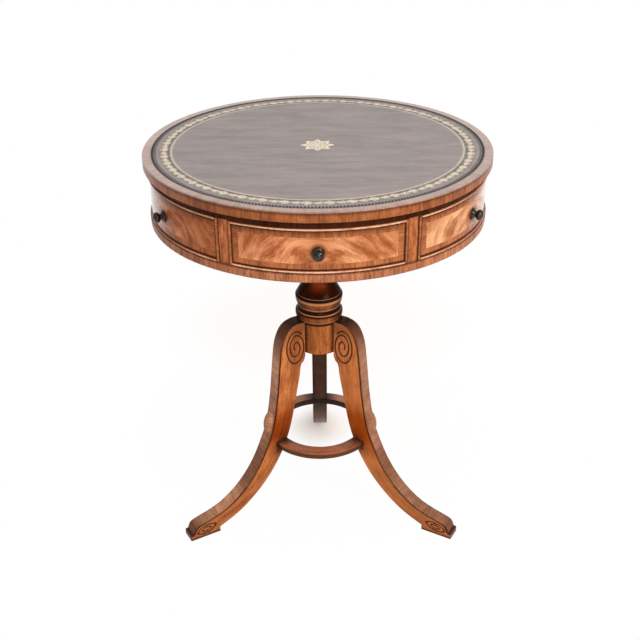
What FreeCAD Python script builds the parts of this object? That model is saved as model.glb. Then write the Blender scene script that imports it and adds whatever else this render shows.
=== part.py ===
import math
import os

import FreeCAD
import Part
from FreeCAD import Vector

# Drum table: a round leather top on a drum of drawers that turns on a three-legged pedestal.
# Millimetres, +Z up, floor at z = 0, table axis on Z, the front drawer faces -Y.

# Table top
TABLE_HEIGHT = 634.0
TOP_RADIUS = 255.0
TOP_THICKNESS = 15.2
TOP_OVERHANG = 8.0
RIM_WIDTH = 13.0
CROSSBAND_THICKNESS = 1.6
LEATHER_THICKNESS = 1.2
LIPPING_WIDTH = 6.0
EDGE_ROUNDING = 1.4

# Drum carcass
FRONT_THICKNESS = 18.0
TOP_RAIL_HEIGHT = 10.0
OPENING_HEIGHT = 63.2
BOTTOM_RAIL_HEIGHT = 12.5
BOTTOM_RAIL_PROUD = 3.0
FLOOR_THICKNESS = 10.0
STILE_WIDTH = 17.0
STILE_TENON_LENGTH = 5.0
STILE_TENON_WIDTH = 9.0
STILE_TENON_SHOULDER = 4.0
FRONT_COUNT = 6
RAIL_FELLOES = 4
TOP_SCREW_RADIUS = 1.8
TOP_SCREW_HEAD_RADIUS = 3.6
TOP_SCREW_HEAD_HEIGHT = 2.4
TOP_SCREW_BITE = 7.0

# Drawer and dummy fronts
DRAWER_GAP = 0.5
BEAD_WIDTH = 2.8
BEAD_SEAT = 6.0
BEAD_PROUD = 2.4
BEAD_ROUNDING = 1.1

# Drawer boxes
SIDE_THICKNESS = 8.0
SIDE_HEIGHT = 48.0
SIDE_INSET = 4.5
HOUSING_DEPTH = 6.0
BACK_THICKNESS = 8.0
BOX_CORNER_ROOM = 10.5
BOTTOM_THICKNESS = 4.0
GROOVE_DEPTH = 3.0
RUNNER_WIDTH = 20.0
RUNNER_HEIGHT = 7.0
RUNNER_GAP = 0.5
RUNNER_END_GAP = 4.0

# Knobs
KNOB_FLANGE_RADIUS = 8.5
KNOB_FLANGE_HEIGHT = 2.2
KNOB_NECK_RADIUS = 3.8
KNOB_NECK_HEIGHT = 5.8
KNOB_HEAD_RADIUS = 7.75
KNOB_HEAD_HEIGHT = 10.6
KNOB_LENGTH = 16.1
KNOB_DROP = 2.0
KNOB_SPIGOT_RADIUS = 3.0
KNOB_SPIGOT_LENGTH = 13.0

# Pivot between the pedestal and the drum
PIVOT_RADIUS = 8.0
PIVOT_RUNNING_GAP = 0.05
PIVOT_DEPTH = 80.0
PIVOT_STAND_OUT = 18.0
BUSH_WALL = 4.0
HUB_RADIUS = 55.0
HUB_HEIGHT = 24.0
BEARER_RADIUS = 95.0
BEARER_THICKNESS = 17.0
BEARER_CHAMFER = 6.0
TURN_GAP = 0.3
NUT_FLANGE_RADIUS = 16.0
NUT_FLANGE_HEIGHT = 2.5
NUT_ACROSS_FLATS = 24.0
NUT_HEIGHT = 11.0

# Column
BLOCK_RADIUS = 34.6
BLOCK_BOTTOM = 296.0
BLOCK_TOP = 347.5
TURNING_HEIGHT = 70.0
QUIRK = 1.2
RING_CROWN_RADIUS = 37.6
COLLAR_RADIUS = 33.5
NECK_RADIUS = 22.5
SHAFT_TOP_RADIUS = 19.5
CAPITAL_RADIUS = 28.0
CAPITAL_HEIGHT = 18.0
COLUMN_TENON_RADIUS = 16.0
COLUMN_TENON_LENGTH = 12.0

# Legs
LEG_THICKNESS = 25.0
LEG_TOP = 352.0
LEG_ROOT_DEPTH = 6.0
FOOT_RADIUS = 254.0
HEEL_RADIUS = 201.0
HEEL_HEIGHT = 9.0
TOE_HEIGHT = 9.5
TOE_LEDGE = 4.0
KNUCKLE_TOP = 200.5
KNUCKLE_BOTTOM = 152.0
KNUCKLE_RISE = 10.2
TONGUE_HEIGHT = 44.0
TONGUE_DEPTH = 12.0
TONGUE_NECK = 10.0
TONGUE_TAIL = 15.0
TONGUE_GLUE_GAP = 0.15

# Stretcher ring let into the legs
STRETCHER_WIDTH = 21.8
STRETCHER_LET_IN = 20.93
STRETCHER_TOP = 141.6
STRETCHER_HEIGHT = 10.3
STRETCHER_ROUNDING = 1.5
STRETCHER_GLUE_GAP = 0.1

# Iron plate under the column
PLATE_THICKNESS = 2.5
PLATE_HUB_RADIUS = 15.0
PLATE_ARM_WIDTH = 12.0
PLATE_ARM_REACH = 29.5
PLATE_SCREW_CIRCLE = 26.0
PLATE_SCREW_RADIUS = 1.6
PLATE_SCREW_HEAD_RADIUS = 3.2
PLATE_SCREW_LENGTH = 18.0

# How far a cutting shape runs past what it cuts
CUT_PAST = 1.0

# Heights and radii that follow from the sizes above
TOP_UNDERSIDE = TABLE_HEIGHT - TOP_THICKNESS
CORE_TOP = TABLE_HEIGHT - CROSSBAND_THICKNESS
LEATHER_RADIUS = TOP_RADIUS - RIM_WIDTH
CORE_RADIUS = TOP_RADIUS - LIPPING_WIDTH
OPENING_TOP = TOP_UNDERSIDE - TOP_RAIL_HEIGHT
OPENING_BOTTOM = OPENING_TOP - OPENING_HEIGHT
DRUM_BOTTOM = OPENING_BOTTOM - BOTTOM_RAIL_HEIGHT
FLOOR_UNDERSIDE = OPENING_BOTTOM - FLOOR_THICKNESS
DRUM_RADIUS = TOP_RADIUS - TOP_OVERHANG
DRUM_INNER_RADIUS = DRUM_RADIUS - FRONT_THICKNESS
FRONT_PITCH = 360.0 / FRONT_COUNT
STILE_HALF_ANGLE = math.degrees(math.asin(STILE_WIDTH / 2.0 / DRUM_RADIUS))
FRONT_HALF_ANGLE = FRONT_PITCH / 2.0 - STILE_HALF_ANGLE
GAP_ANGLE = math.degrees(DRAWER_GAP / DRUM_RADIUS)
BEAD_ANGLE = math.degrees(BEAD_WIDTH / DRUM_RADIUS)
BEAD_BACK_RADIUS = DRUM_RADIUS - BEAD_SEAT
BEAD_FACE_RADIUS = DRUM_RADIUS + BEAD_PROUD
DRAWER_LOW = OPENING_BOTTOM + DRAWER_GAP
DRAWER_HIGH = OPENING_TOP - DRAWER_GAP
BOX_HALF_WIDTH = DRUM_INNER_RADIUS * math.sin(math.radians(FRONT_HALF_ANGLE)) - SIDE_INSET
BACK_DISTANCE = BOX_HALF_WIDTH / math.tan(math.radians(FRONT_PITCH)) + BOX_CORNER_ROOM
BOX_TOP = DRAWER_LOW + SIDE_HEIGHT
BOTTOM_LOW = OPENING_BOTTOM + RUNNER_HEIGHT + RUNNER_GAP
BOTTOM_HIGH = BOTTOM_LOW + BOTTOM_THICKNESS
KNOB_CENTRE = (OPENING_BOTTOM + OPENING_TOP) / 2.0 - KNOB_DROP
BUSH_RADIUS = PIVOT_RADIUS + PIVOT_RUNNING_GAP + BUSH_WALL
HUB_TOP = OPENING_BOTTOM + HUB_HEIGHT
BEARER_TOP = FLOOR_UNDERSIDE - TURN_GAP
BEARER_BOTTOM = BEARER_TOP - BEARER_THICKNESS
PIVOT_BOTTOM = BEARER_BOTTOM - PIVOT_DEPTH
PIVOT_TOP = HUB_TOP + PIVOT_STAND_OUT
STRETCHER_BOTTOM = STRETCHER_TOP - STRETCHER_HEIGHT
PLATE_BOTTOM = BLOCK_BOTTOM - PLATE_THICKNESS

UP = Vector(0, 0, 1)
AXIS = Vector(0, 0, 0)
FRONT_ANGLES = [-90.0 + FRONT_PITCH * k for k in range(FRONT_COUNT)]
DRAWER_ANGLES = FRONT_ANGLES[0::2]
DUMMY_ANGLES = FRONT_ANGLES[1::2]
STILE_ANGLES = [angle + FRONT_PITCH / 2.0 for angle in FRONT_ANGLES]
LEG_NAMES = ["front_right", "back", "front_left"]
LEG_PITCH = 360.0 / len(LEG_NAMES)
LEG_ANGLES = {name: 90.0 + LEG_PITCH * (k - 1) for k, name in enumerate(LEG_NAMES)}

pieces = {}


def disc(radius, low, high):
    return Part.makeCylinder(radius, high - low, Vector(0, 0, low), UP)


def ring(inner, outer, low, high):
    return disc(outer, low, high).cut(disc(inner, low, high))


def turned(shape, degrees):
    copy = shape.copy()
    copy.rotate(AXIS, UP, degrees)
    return copy


def sector(inner, outer, half_angle, low, high):
    wedge = Part.makeCylinder(outer, high - low, Vector(0, 0, low), UP, 2.0 * half_angle)
    wedge = wedge.cut(disc(inner, low, high))
    return turned(wedge, -half_angle)


def felloes(whole):
    """A ring as it is glued up, from equal lengths that meet end to end."""
    box = whole.BoundBox
    span = 360.0 / RAIL_FELLOES
    length = Part.makeCylinder(box.XMax + CUT_PAST, box.ZLength, Vector(0, 0, box.ZMin), UP, span)
    return Part.makeCompound(
        [whole.common(turned(length, span * (k - 0.5))) for k in range(RAIL_FELLOES)])


def block(x_low, x_high, y_low, y_high, z_low, z_high):
    corner = Vector(x_low, y_low, z_low)
    return Part.makeBox(x_high - x_low, y_high - y_low, z_high - z_low, corner)


def outline_edges(start, steps, plot):
    edges = []
    here = start
    for step in steps:
        if len(step) == 1:
            edges.append(Part.makeLine(plot(here), plot(step[0])))
        else:
            edges.append(Part.Arc(plot(here), plot(step[0]), plot(step[1])).toShape())
        here = step[-1]
    return edges


def upright(point):
    return Vector(point[0], 0, point[1])


def lathe(start, steps):
    edges = outline_edges(start, steps, upright)
    face = Part.Face(Part.Wire(edges))
    return face.revolve(AXIS, UP, 360.0)


def rounded(shape, radius, wanted):
    edges = [edge for edge in shape.Edges if wanted(edge)]
    return shape.makeFillet(radius, edges)


def circle_at(height, radius):
    def wanted(edge):
        if not isinstance(edge.Curve, Part.Circle):
            return False
        same_height = abs(edge.BoundBox.ZMin - height) < 0.01 and abs(edge.BoundBox.ZMax - height) < 0.01
        return same_height and abs(edge.Curve.Radius - radius) < 0.01
    return wanted


def countersunk_screw(head_radius, head_height, radius, length):
    head = Part.makeCone(head_radius, radius, head_height, AXIS, UP)
    shank = Part.makeCylinder(radius, length - head_height, Vector(0, 0, head_height), UP)
    return head.fuse(shank).removeSplitter()


def make_top():
    board = disc(CORE_RADIUS, TOP_UNDERSIDE, CORE_TOP)
    lipping = ring(CORE_RADIUS, TOP_RADIUS, TOP_UNDERSIDE, CORE_TOP)
    lipping = rounded(lipping, EDGE_ROUNDING, circle_at(TOP_UNDERSIDE, TOP_RADIUS))
    crossband = ring(LEATHER_RADIUS, TOP_RADIUS, CORE_TOP, TABLE_HEIGHT)
    crossband = rounded(crossband, EDGE_ROUNDING, circle_at(TABLE_HEIGHT, TOP_RADIUS))
    leather = disc(LEATHER_RADIUS, CORE_TOP, CORE_TOP + LEATHER_THICKNESS)
    length = TOP_RAIL_HEIGHT + TOP_SCREW_BITE
    screw = countersunk_screw(TOP_SCREW_HEAD_RADIUS, TOP_SCREW_HEAD_HEIGHT, TOP_SCREW_RADIUS, length)
    middle = (DRUM_RADIUS + DRUM_INNER_RADIUS) / 2.0
    screw.translate(Vector(middle, 0, OPENING_TOP))
    screws = Part.makeCompound([turned(screw, angle) for angle in FRONT_ANGLES])
    pieces["top_board"] = board.cut(screws)
    pieces["top_edge_lipping"] = lipping
    pieces["top_crossband"] = crossband
    pieces["leather_inset"] = leather
    pieces["top_screws"] = screws


def make_carcass():
    top_rail = ring(DRUM_INNER_RADIUS, DRUM_RADIUS, OPENING_TOP, TOP_UNDERSIDE)
    bottom_radius = DRUM_RADIUS + BOTTOM_RAIL_PROUD
    bottom_rail = ring(DRUM_INNER_RADIUS, bottom_radius, DRUM_BOTTOM, OPENING_BOTTOM)
    bottom_rail = rounded(bottom_rail, EDGE_ROUNDING, circle_at(DRUM_BOTTOM, bottom_radius))
    stile = sector(DRUM_INNER_RADIUS, DRUM_RADIUS, STILE_HALF_ANGLE, OPENING_BOTTOM, OPENING_TOP)
    tenon = block(
        DRUM_INNER_RADIUS + STILE_TENON_SHOULDER, DRUM_RADIUS - STILE_TENON_SHOULDER,
        -STILE_TENON_WIDTH / 2.0, STILE_TENON_WIDTH / 2.0,
        OPENING_BOTTOM - STILE_TENON_LENGTH, OPENING_TOP + STILE_TENON_LENGTH)
    stile = stile.fuse(tenon).removeSplitter()
    for number, angle in enumerate(STILE_ANGLES, start=1):
        placed = turned(tenon, angle)
        top_rail = top_rail.cut(placed)
        bottom_rail = bottom_rail.cut(placed)
        pieces["stile_%d" % number] = turned(stile, angle)
    pieces["top_rail"] = felloes(top_rail.cut(pieces["top_screws"]))
    pieces["bottom_rail"] = felloes(bottom_rail)
    floor = disc(DRUM_INNER_RADIUS, FLOOR_UNDERSIDE, OPENING_BOTTOM)
    hub = disc(HUB_RADIUS, OPENING_BOTTOM, HUB_TOP)
    bush_hole = disc(BUSH_RADIUS, FLOOR_UNDERSIDE, HUB_TOP)
    pieces["drum_floor"] = floor.cut(bush_hole)
    pieces["hub_block"] = hub.cut(bush_hole)
    pieces["pivot_bush"] = ring(PIVOT_RADIUS + PIVOT_RUNNING_GAP, BUSH_RADIUS, FLOOR_UNDERSIDE, HUB_TOP)
    runner = block(
        0, DRUM_INNER_RADIUS - RUNNER_END_GAP, -RUNNER_WIDTH / 2.0, RUNNER_WIDTH / 2.0,
        OPENING_BOTTOM, OPENING_BOTTOM + RUNNER_HEIGHT)
    runner = runner.cut(hub)
    for number, angle in enumerate(DRAWER_ANGLES, start=1):
        pieces["drawer_runner_%d" % number] = turned(runner, angle)


def make_front(half_angle, low, high):
    face = sector(DRUM_INNER_RADIUS, DRUM_RADIUS, half_angle, low, high)
    hole = sector(
        BEAD_BACK_RADIUS - CUT_PAST, BEAD_FACE_RADIUS + CUT_PAST, half_angle - BEAD_ANGLE,
        low + BEAD_WIDTH, high - BEAD_WIDTH)
    bead = sector(BEAD_BACK_RADIUS, BEAD_FACE_RADIUS, half_angle, low, high).cut(hole)
    front = face.cut(bead)

    def on_nose(edge):
        return all(abs(math.hypot(v.X, v.Y) - BEAD_FACE_RADIUS) < 0.01 for v in edge.Vertexes)

    return front, rounded(bead, BEAD_ROUNDING, on_nose)


def make_knob():
    tip_radius = KNOB_HEAD_RADIUS / 3.0
    tip_rise = (KNOB_LENGTH - KNOB_HEAD_HEIGHT) * 0.1
    tip_low = KNOB_LENGTH - tip_rise
    dome = (tip_radius ** 2 + tip_rise ** 2) / (2.0 * tip_rise)
    half_turn = math.asin(tip_radius / dome) / 2.0
    tip_mid = (dome * math.sin(half_turn), KNOB_LENGTH - dome + dome * math.cos(half_turn))
    swell = KNOB_HEAD_RADIUS - KNOB_NECK_RADIUS
    under = KNOB_HEAD_HEIGHT - KNOB_NECK_HEIGHT
    over = tip_low - KNOB_HEAD_HEIGHT
    cove = KNOB_FLANGE_RADIUS - KNOB_NECK_RADIUS
    start = (0, -KNOB_SPIGOT_LENGTH)
    steps = [
        [(KNOB_SPIGOT_RADIUS, -KNOB_SPIGOT_LENGTH)],
        [(KNOB_SPIGOT_RADIUS, 0)],
        [(KNOB_FLANGE_RADIUS, 0)],
        [(KNOB_FLANGE_RADIUS, KNOB_FLANGE_HEIGHT)],
        [(KNOB_NECK_RADIUS + cove * 0.28, (KNOB_FLANGE_HEIGHT + KNOB_NECK_HEIGHT) * 0.43),
         (KNOB_NECK_RADIUS, KNOB_NECK_HEIGHT)],
        [(KNOB_NECK_RADIUS + swell * 0.72, KNOB_NECK_HEIGHT + under * 0.36),
         (KNOB_HEAD_RADIUS, KNOB_HEAD_HEIGHT)],
        [(tip_radius + (KNOB_HEAD_RADIUS - tip_radius) * 0.72, KNOB_HEAD_HEIGHT + over * 0.69),
         (tip_radius, tip_low)],
        [tip_mid, (0, KNOB_LENGTH)],
        [start],
    ]
    knob = lathe(start, steps)
    knob.rotate(AXIS, Vector(0, 1, 0), 90.0)
    knob.translate(Vector(DRUM_RADIUS, 0, KNOB_CENTRE))
    return knob


def make_drawer_box(front):
    width = BOX_HALF_WIDTH
    reach = DRUM_RADIUS
    side_reach = disc(DRUM_INNER_RADIUS + HOUSING_DEPTH, DRAWER_LOW, BOX_TOP)
    right = block(BACK_DISTANCE, reach, width - SIDE_THICKNESS, width, DRAWER_LOW, BOX_TOP)
    right = right.common(side_reach)
    left = block(BACK_DISTANCE, reach, -width, SIDE_THICKNESS - width, DRAWER_LOW, BOX_TOP)
    left = left.common(side_reach)
    inner = width - SIDE_THICKNESS
    back = block(BACK_DISTANCE, BACK_DISTANCE + BACK_THICKNESS, -inner, inner, DRAWER_LOW, BOX_TOP)
    slot = RUNNER_WIDTH / 2.0 + RUNNER_GAP
    back = back.cut(block(0, reach, -slot, slot, DRAWER_LOW - CUT_PAST, BOTTOM_LOW))
    bottom = block(
        BACK_DISTANCE + BACK_THICKNESS - GROOVE_DEPTH, reach,
        -inner - GROOVE_DEPTH, inner + GROOVE_DEPTH, BOTTOM_LOW, BOTTOM_HIGH)
    bottom = bottom.common(disc(DRUM_INNER_RADIUS + GROOVE_DEPTH, BOTTOM_LOW, BOTTOM_HIGH))
    front = front.cut(left).cut(right).cut(bottom)
    return {
        "front": front,
        "left_side": left.cut(bottom),
        "right_side": right.cut(bottom),
        "back": back.cut(bottom),
        "bottom": bottom,
    }


def make_fronts():
    knob = make_knob()
    drawer_front, drawer_bead = make_front(FRONT_HALF_ANGLE - GAP_ANGLE, DRAWER_LOW, DRAWER_HIGH)
    box = make_drawer_box(drawer_front.cut(knob))
    box["bead"] = drawer_bead
    box["knob"] = knob
    for number, angle in enumerate(DRAWER_ANGLES, start=1):
        for name, shape in box.items():
            pieces["drawer_%d_%s" % (number, name)] = turned(shape, angle)
    dummy_front, dummy_bead = make_front(FRONT_HALF_ANGLE, OPENING_BOTTOM, OPENING_TOP)
    dummy = {"front": dummy_front.cut(knob), "bead": dummy_bead, "knob": knob}
    for number, angle in enumerate(DUMMY_ANGLES, start=1):
        for name, shape in dummy.items():
            pieces["dummy_%d_%s" % (number, name)] = turned(shape, angle)


def column_body():
    crown = RING_CROWN_RADIUS
    collar = COLLAR_RADIUS
    arris = crown - QUIRK * 1.67
    dome_foot = NECK_RADIUS + QUIRK * 1.67
    dome_middle = dome_foot + (arris - dome_foot) * 0.58
    capital_low = BEARER_BOTTOM - CAPITAL_HEIGHT
    capital_middle = SHAFT_TOP_RADIUS + (CAPITAL_RADIUS - SHAFT_TOP_RADIUS) * 0.235

    def at(share):
        return BLOCK_TOP + TURNING_HEIGHT * share

    def over_crown(share):
        """From the crown of a turned ring over its shoulder and quirk to the sharp edge above."""
        return [
            [(crown - QUIRK * 0.17, at(share + 0.0343)), (crown - QUIRK * 1.08, at(share + 0.0572))],
            [(arris - QUIRK * 0.42, at(share + 0.0658))],
            [(arris, at(share + 0.0772))],
        ]

    start = (0, BLOCK_BOTTOM)
    steps = [
        [(BLOCK_RADIUS, BLOCK_BOTTOM)],
        [(BLOCK_RADIUS, BLOCK_TOP)],
        [(BLOCK_RADIUS - QUIRK, at(0.0114))],
        [(BLOCK_RADIUS - QUIRK, at(0.0257))],
        [(BLOCK_RADIUS + QUIRK * 0.33, at(0.0343))],
        [(BLOCK_RADIUS + (crown - BLOCK_RADIUS) * 0.83, at(0.1)), (crown, at(0.192))],
        *over_crown(0.192),
        [(collar + (arris - collar) * 0.33, at(0.3143)), (collar, at(0.36))],
        [(collar, at(0.37))],
        [(collar + (crown - collar) * 0.72, at(0.4714)), (crown, at(0.5871))],
        *over_crown(0.5871),
        [(dome_middle, at(0.7857)), (dome_foot, at(0.9143))],
        [(NECK_RADIUS + QUIRK * 0.33, at(0.9657)), (NECK_RADIUS, at(1.0))],
        [(SHAFT_TOP_RADIUS, capital_low)],
        [(capital_middle, capital_low + CAPITAL_HEIGHT * 0.333),
         (CAPITAL_RADIUS, capital_low + CAPITAL_HEIGHT * 0.556)],
        [(CAPITAL_RADIUS, BEARER_BOTTOM)],
        [(COLUMN_TENON_RADIUS, BEARER_BOTTOM)],
        [(COLUMN_TENON_RADIUS, BEARER_BOTTOM + COLUMN_TENON_LENGTH)],
        [(0, BEARER_BOTTOM + COLUMN_TENON_LENGTH)],
        [start],
    ]
    return lathe(start, steps)


def dovetail(gap):
    neck = TONGUE_NECK / 2.0 + gap
    tail = TONGUE_TAIL / 2.0 + gap
    back = BLOCK_RADIUS - TONGUE_DEPTH - gap
    mouth = BLOCK_RADIUS + LEG_ROOT_DEPTH
    low = BLOCK_BOTTOM - (CUT_PAST if gap else 0.0)
    high = BLOCK_BOTTOM + TONGUE_HEIGHT + gap
    half = [(back, -tail), (BLOCK_RADIUS, -neck), (mouth, -neck)]
    corners = half + [(x, -y) for x, y in reversed(half)]
    points = [Vector(x, y, low) for x, y in corners]
    outline = Part.makePolygon(points + points[:1])
    return Part.Face(outline).extrude(Vector(0, 0, high - low))


# Side outline of a leg, from its head to its foot and back up, as shares of the way from the column's
# block to the toe and of the leg's height
LEG_OUTER_SHARES = [
    (0.052, 1.0), (0.1021, 0.9915), (0.1431, 0.9724), (0.1686, 0.946), (0.1864, 0.9176), (0.1987, 0.8835),
    (0.2106, 0.8224), (0.2229, 0.7443), (0.2352, 0.6648), (0.2489, 0.6009), (0.2625, 0.5455),
    (0.2835, 0.483), (0.3095, 0.4318), (0.3428, 0.3821), (0.3874, 0.3222), (0.4421, 0.2642),
    (0.5105, 0.2088), (0.5953, 0.1577), (0.7015, 0.1131), (0.8131, 0.0869), (0.8997, 0.0733),
    (0.9567, 0.0591)]
LEG_INNER_SHARES = [
    (0.6787, 0.0466), (0.6126, 0.0665), (0.5556, 0.0881), (0.5041, 0.1116), (0.4576, 0.1364),
    (0.4139, 0.1614), (0.3733, 0.1875), (0.3359, 0.2145), (0.3026, 0.2415), (0.2716, 0.2699),
    (0.2434, 0.2983), (0.2024, 0.3466), (0.1641, 0.4034), (0.1386, 0.4489), (0.1176, 0.4972),
    (0.0985, 0.5511), (0.0729, 0.6307), (0.0565, 0.6847), (0.0424, 0.7301), (0.0283, 0.7841)]
SCROLL_UNDERCUT_SHARES = [
    (0.0064, 0.7989), (-0.0082, 0.8239)]


def leg_point(place):
    distance = BLOCK_RADIUS + (FOOT_RADIUS - BLOCK_RADIUS) * place[0]
    return Vector(distance, 0, LEG_TOP * place[1])


def line_at(line, height):
    """The point of an upright line of points at one height."""
    for first, second in zip(line, line[1:]):
        low, high = sorted((first, second), key=lambda point: point.z)
        if low.z <= height <= high.z:
            return low + (high - low) * ((height - low.z) / (high.z - low.z))
    return line[-1]


# The stretcher's radii follow the legs' inner faces, which it is let into
STRETCHER_FACE = line_at([leg_point(point) for point in LEG_INNER_SHARES], STRETCHER_TOP)
STRETCHER_OUTER_RADIUS = STRETCHER_FACE.x + STRETCHER_LET_IN
STRETCHER_INNER_RADIUS = STRETCHER_OUTER_RADIUS - STRETCHER_WIDTH


def smooth(points):
    curve = Part.BSplineCurve()
    curve.interpolate(points)
    return curve.toShape()


def make_leg(column):
    outer = [leg_point(point) for point in LEG_OUTER_SHARES]
    outer.append(Vector(FOOT_RADIUS - TOE_LEDGE, 0, TOE_HEIGHT))
    inner = [Vector(HEEL_RADIUS, 0, HEEL_HEIGHT)] + [leg_point(point) for point in LEG_INNER_SHARES]
    scroll_mid = leg_point(SCROLL_UNDERCUT_SHARES[0])
    scroll_end = leg_point(SCROLL_UNDERCUT_SHARES[1])
    root = BLOCK_RADIUS - LEG_ROOT_DEPTH
    top_root = Vector(root, 0, outer[0].z)
    low_root = Vector(root, 0, BLOCK_BOTTOM)
    step_in = Vector(scroll_end.x, 0, BLOCK_BOTTOM)
    toe_top = Vector(FOOT_RADIUS, 0, TOE_HEIGHT)
    toe = Vector(FOOT_RADIUS, 0, 0)
    heel = Vector(HEEL_RADIUS, 0, 0)
    edges = [
        Part.makeLine(top_root, outer[0]),
        smooth(outer),
        Part.makeLine(outer[-1], toe_top),
        Part.makeLine(toe_top, toe),
        Part.makeLine(toe, heel),
        Part.makeLine(heel, inner[0]),
        smooth(inner),
        Part.Arc(inner[-1], scroll_mid, scroll_end).toShape(),
        Part.makeLine(scroll_end, step_in),
        Part.makeLine(step_in, low_root),
        Part.makeLine(low_root, top_root),
    ]
    face = Part.Face(Part.Wire(edges))
    face.translate(Vector(0, -LEG_THICKNESS / 2.0, 0))
    leg = face.extrude(Vector(0, LEG_THICKNESS, 0))
    leg = leg.cut(column).cut(disc(BLOCK_RADIUS, BLOCK_TOP, LEG_TOP + CUT_PAST)).fuse(dovetail(0.0))
    leg = leg.fuse(make_knuckle(outer)).removeSplitter()
    notch = ring(
        STRETCHER_INNER_RADIUS - STRETCHER_GLUE_GAP, STRETCHER_OUTER_RADIUS + STRETCHER_GLUE_GAP,
        STRETCHER_BOTTOM - STRETCHER_GLUE_GAP, STRETCHER_TOP + STRETCHER_GLUE_GAP)
    return leg.cut(notch)


def make_knuckle(outer):
    sink = KNUCKLE_RISE * 0.04
    top = line_at(outer, KNUCKLE_TOP) - Vector(sink, 0, 0)
    bottom = line_at(outer, KNUCKLE_BOTTOM) - Vector(sink, 0, 0)
    along = bottom - top
    out = Vector(-along.z, 0, along.x)
    out.normalize()
    peak = (top + bottom) * 0.5 + out * KNUCKLE_RISE
    edges = [Part.Arc(top, peak, bottom).toShape(), Part.makeLine(bottom, top)]
    return Part.Face(Part.Wire(edges)).revolve(top, along, 360.0)


def make_pedestal():
    body = column_body()
    leg = make_leg(body)
    column = body.cut(disc(PIVOT_RADIUS, PIVOT_BOTTOM, BEARER_TOP))
    for name, angle in LEG_ANGLES.items():
        column = column.cut(turned(dovetail(TONGUE_GLUE_GAP), angle))
    head_height = PLATE_THICKNESS * 0.9
    screw = countersunk_screw(PLATE_SCREW_HEAD_RADIUS, head_height, PLATE_SCREW_RADIUS, PLATE_SCREW_LENGTH)
    screw.translate(Vector(PLATE_SCREW_CIRCLE, 0, PLATE_BOTTOM))
    plate = disc(PLATE_HUB_RADIUS, PLATE_BOTTOM, BLOCK_BOTTOM)
    arm = block(0, PLATE_ARM_REACH, -PLATE_ARM_WIDTH / 2.0, PLATE_ARM_WIDTH / 2.0, PLATE_BOTTOM, BLOCK_BOTTOM)
    screws = []
    for name, angle in LEG_ANGLES.items():
        plate = plate.fuse(turned(arm, angle))
        screws.append(turned(screw, angle))
        pieces["leg_%s" % name] = turned(leg.cut(screw), angle)
    screws = Part.makeCompound(screws)
    pieces["leg_plate"] = plate.removeSplitter().cut(screws)
    pieces["leg_plate_screws"] = screws
    pieces["column"] = column.cut(screws)
    stretcher = ring(STRETCHER_INNER_RADIUS, STRETCHER_OUTER_RADIUS, STRETCHER_BOTTOM, STRETCHER_TOP)
    rims = [
        circle_at(height, radius)
        for height in (STRETCHER_BOTTOM, STRETCHER_TOP)
        for radius in (STRETCHER_INNER_RADIUS, STRETCHER_OUTER_RADIUS)]
    stretcher = rounded(stretcher, STRETCHER_ROUNDING, lambda edge: any(rim(edge) for rim in rims))
    pieces["stretcher_ring"] = stretcher


def make_pivot():
    lower_radius = BEARER_RADIUS - BEARER_CHAMFER
    bearer = lathe((0, BEARER_BOTTOM), [
        [(lower_radius, BEARER_BOTTOM)],
        [(BEARER_RADIUS, BEARER_BOTTOM + BEARER_CHAMFER)],
        [(BEARER_RADIUS, BEARER_TOP)],
        [(0, BEARER_TOP)],
        [(0, BEARER_BOTTOM)],
    ])
    bearer = bearer.cut(disc(COLUMN_TENON_RADIUS, BEARER_BOTTOM, BEARER_BOTTOM + COLUMN_TENON_LENGTH))
    pieces["bearer_block"] = bearer.cut(disc(PIVOT_RADIUS, BEARER_BOTTOM, BEARER_TOP))
    pieces["pivot_bolt"] = disc(PIVOT_RADIUS, PIVOT_BOTTOM, PIVOT_TOP)
    nut_low = HUB_TOP + TURN_GAP
    corner = NUT_ACROSS_FLATS / math.sqrt(3.0)
    corners = [
        Vector(corner * math.cos(math.radians(60 * k)), corner * math.sin(math.radians(60 * k)), nut_low)
        for k in range(7)]
    hexagon = Part.Face(Part.makePolygon(corners)).extrude(Vector(0, 0, NUT_HEIGHT))
    nut = hexagon.fuse(disc(NUT_FLANGE_RADIUS, nut_low, nut_low + NUT_FLANGE_HEIGHT)).removeSplitter()
    pieces["pivot_nut"] = nut.cut(disc(PIVOT_RADIUS, nut_low, nut_low + NUT_HEIGHT))


def save_pieces():
    os.makedirs("parts", exist_ok=True)
    for name, shape in sorted(pieces.items()):
        if not shape.isValid():
            raise ValueError("%s is not a valid shape" % name)
        shape.exportStep("parts/%s.step" % name)
        print("%-24s %d solid  %10.1f mm3" % (name, len(shape.Solids), shape.Volume))
    print("%d pieces" % len(pieces))


make_top()
make_carcass()
make_fronts()
make_pedestal()
make_pivot()
save_pieces()
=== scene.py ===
import math

import bpy
from mathutils import Matrix, Vector


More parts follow.
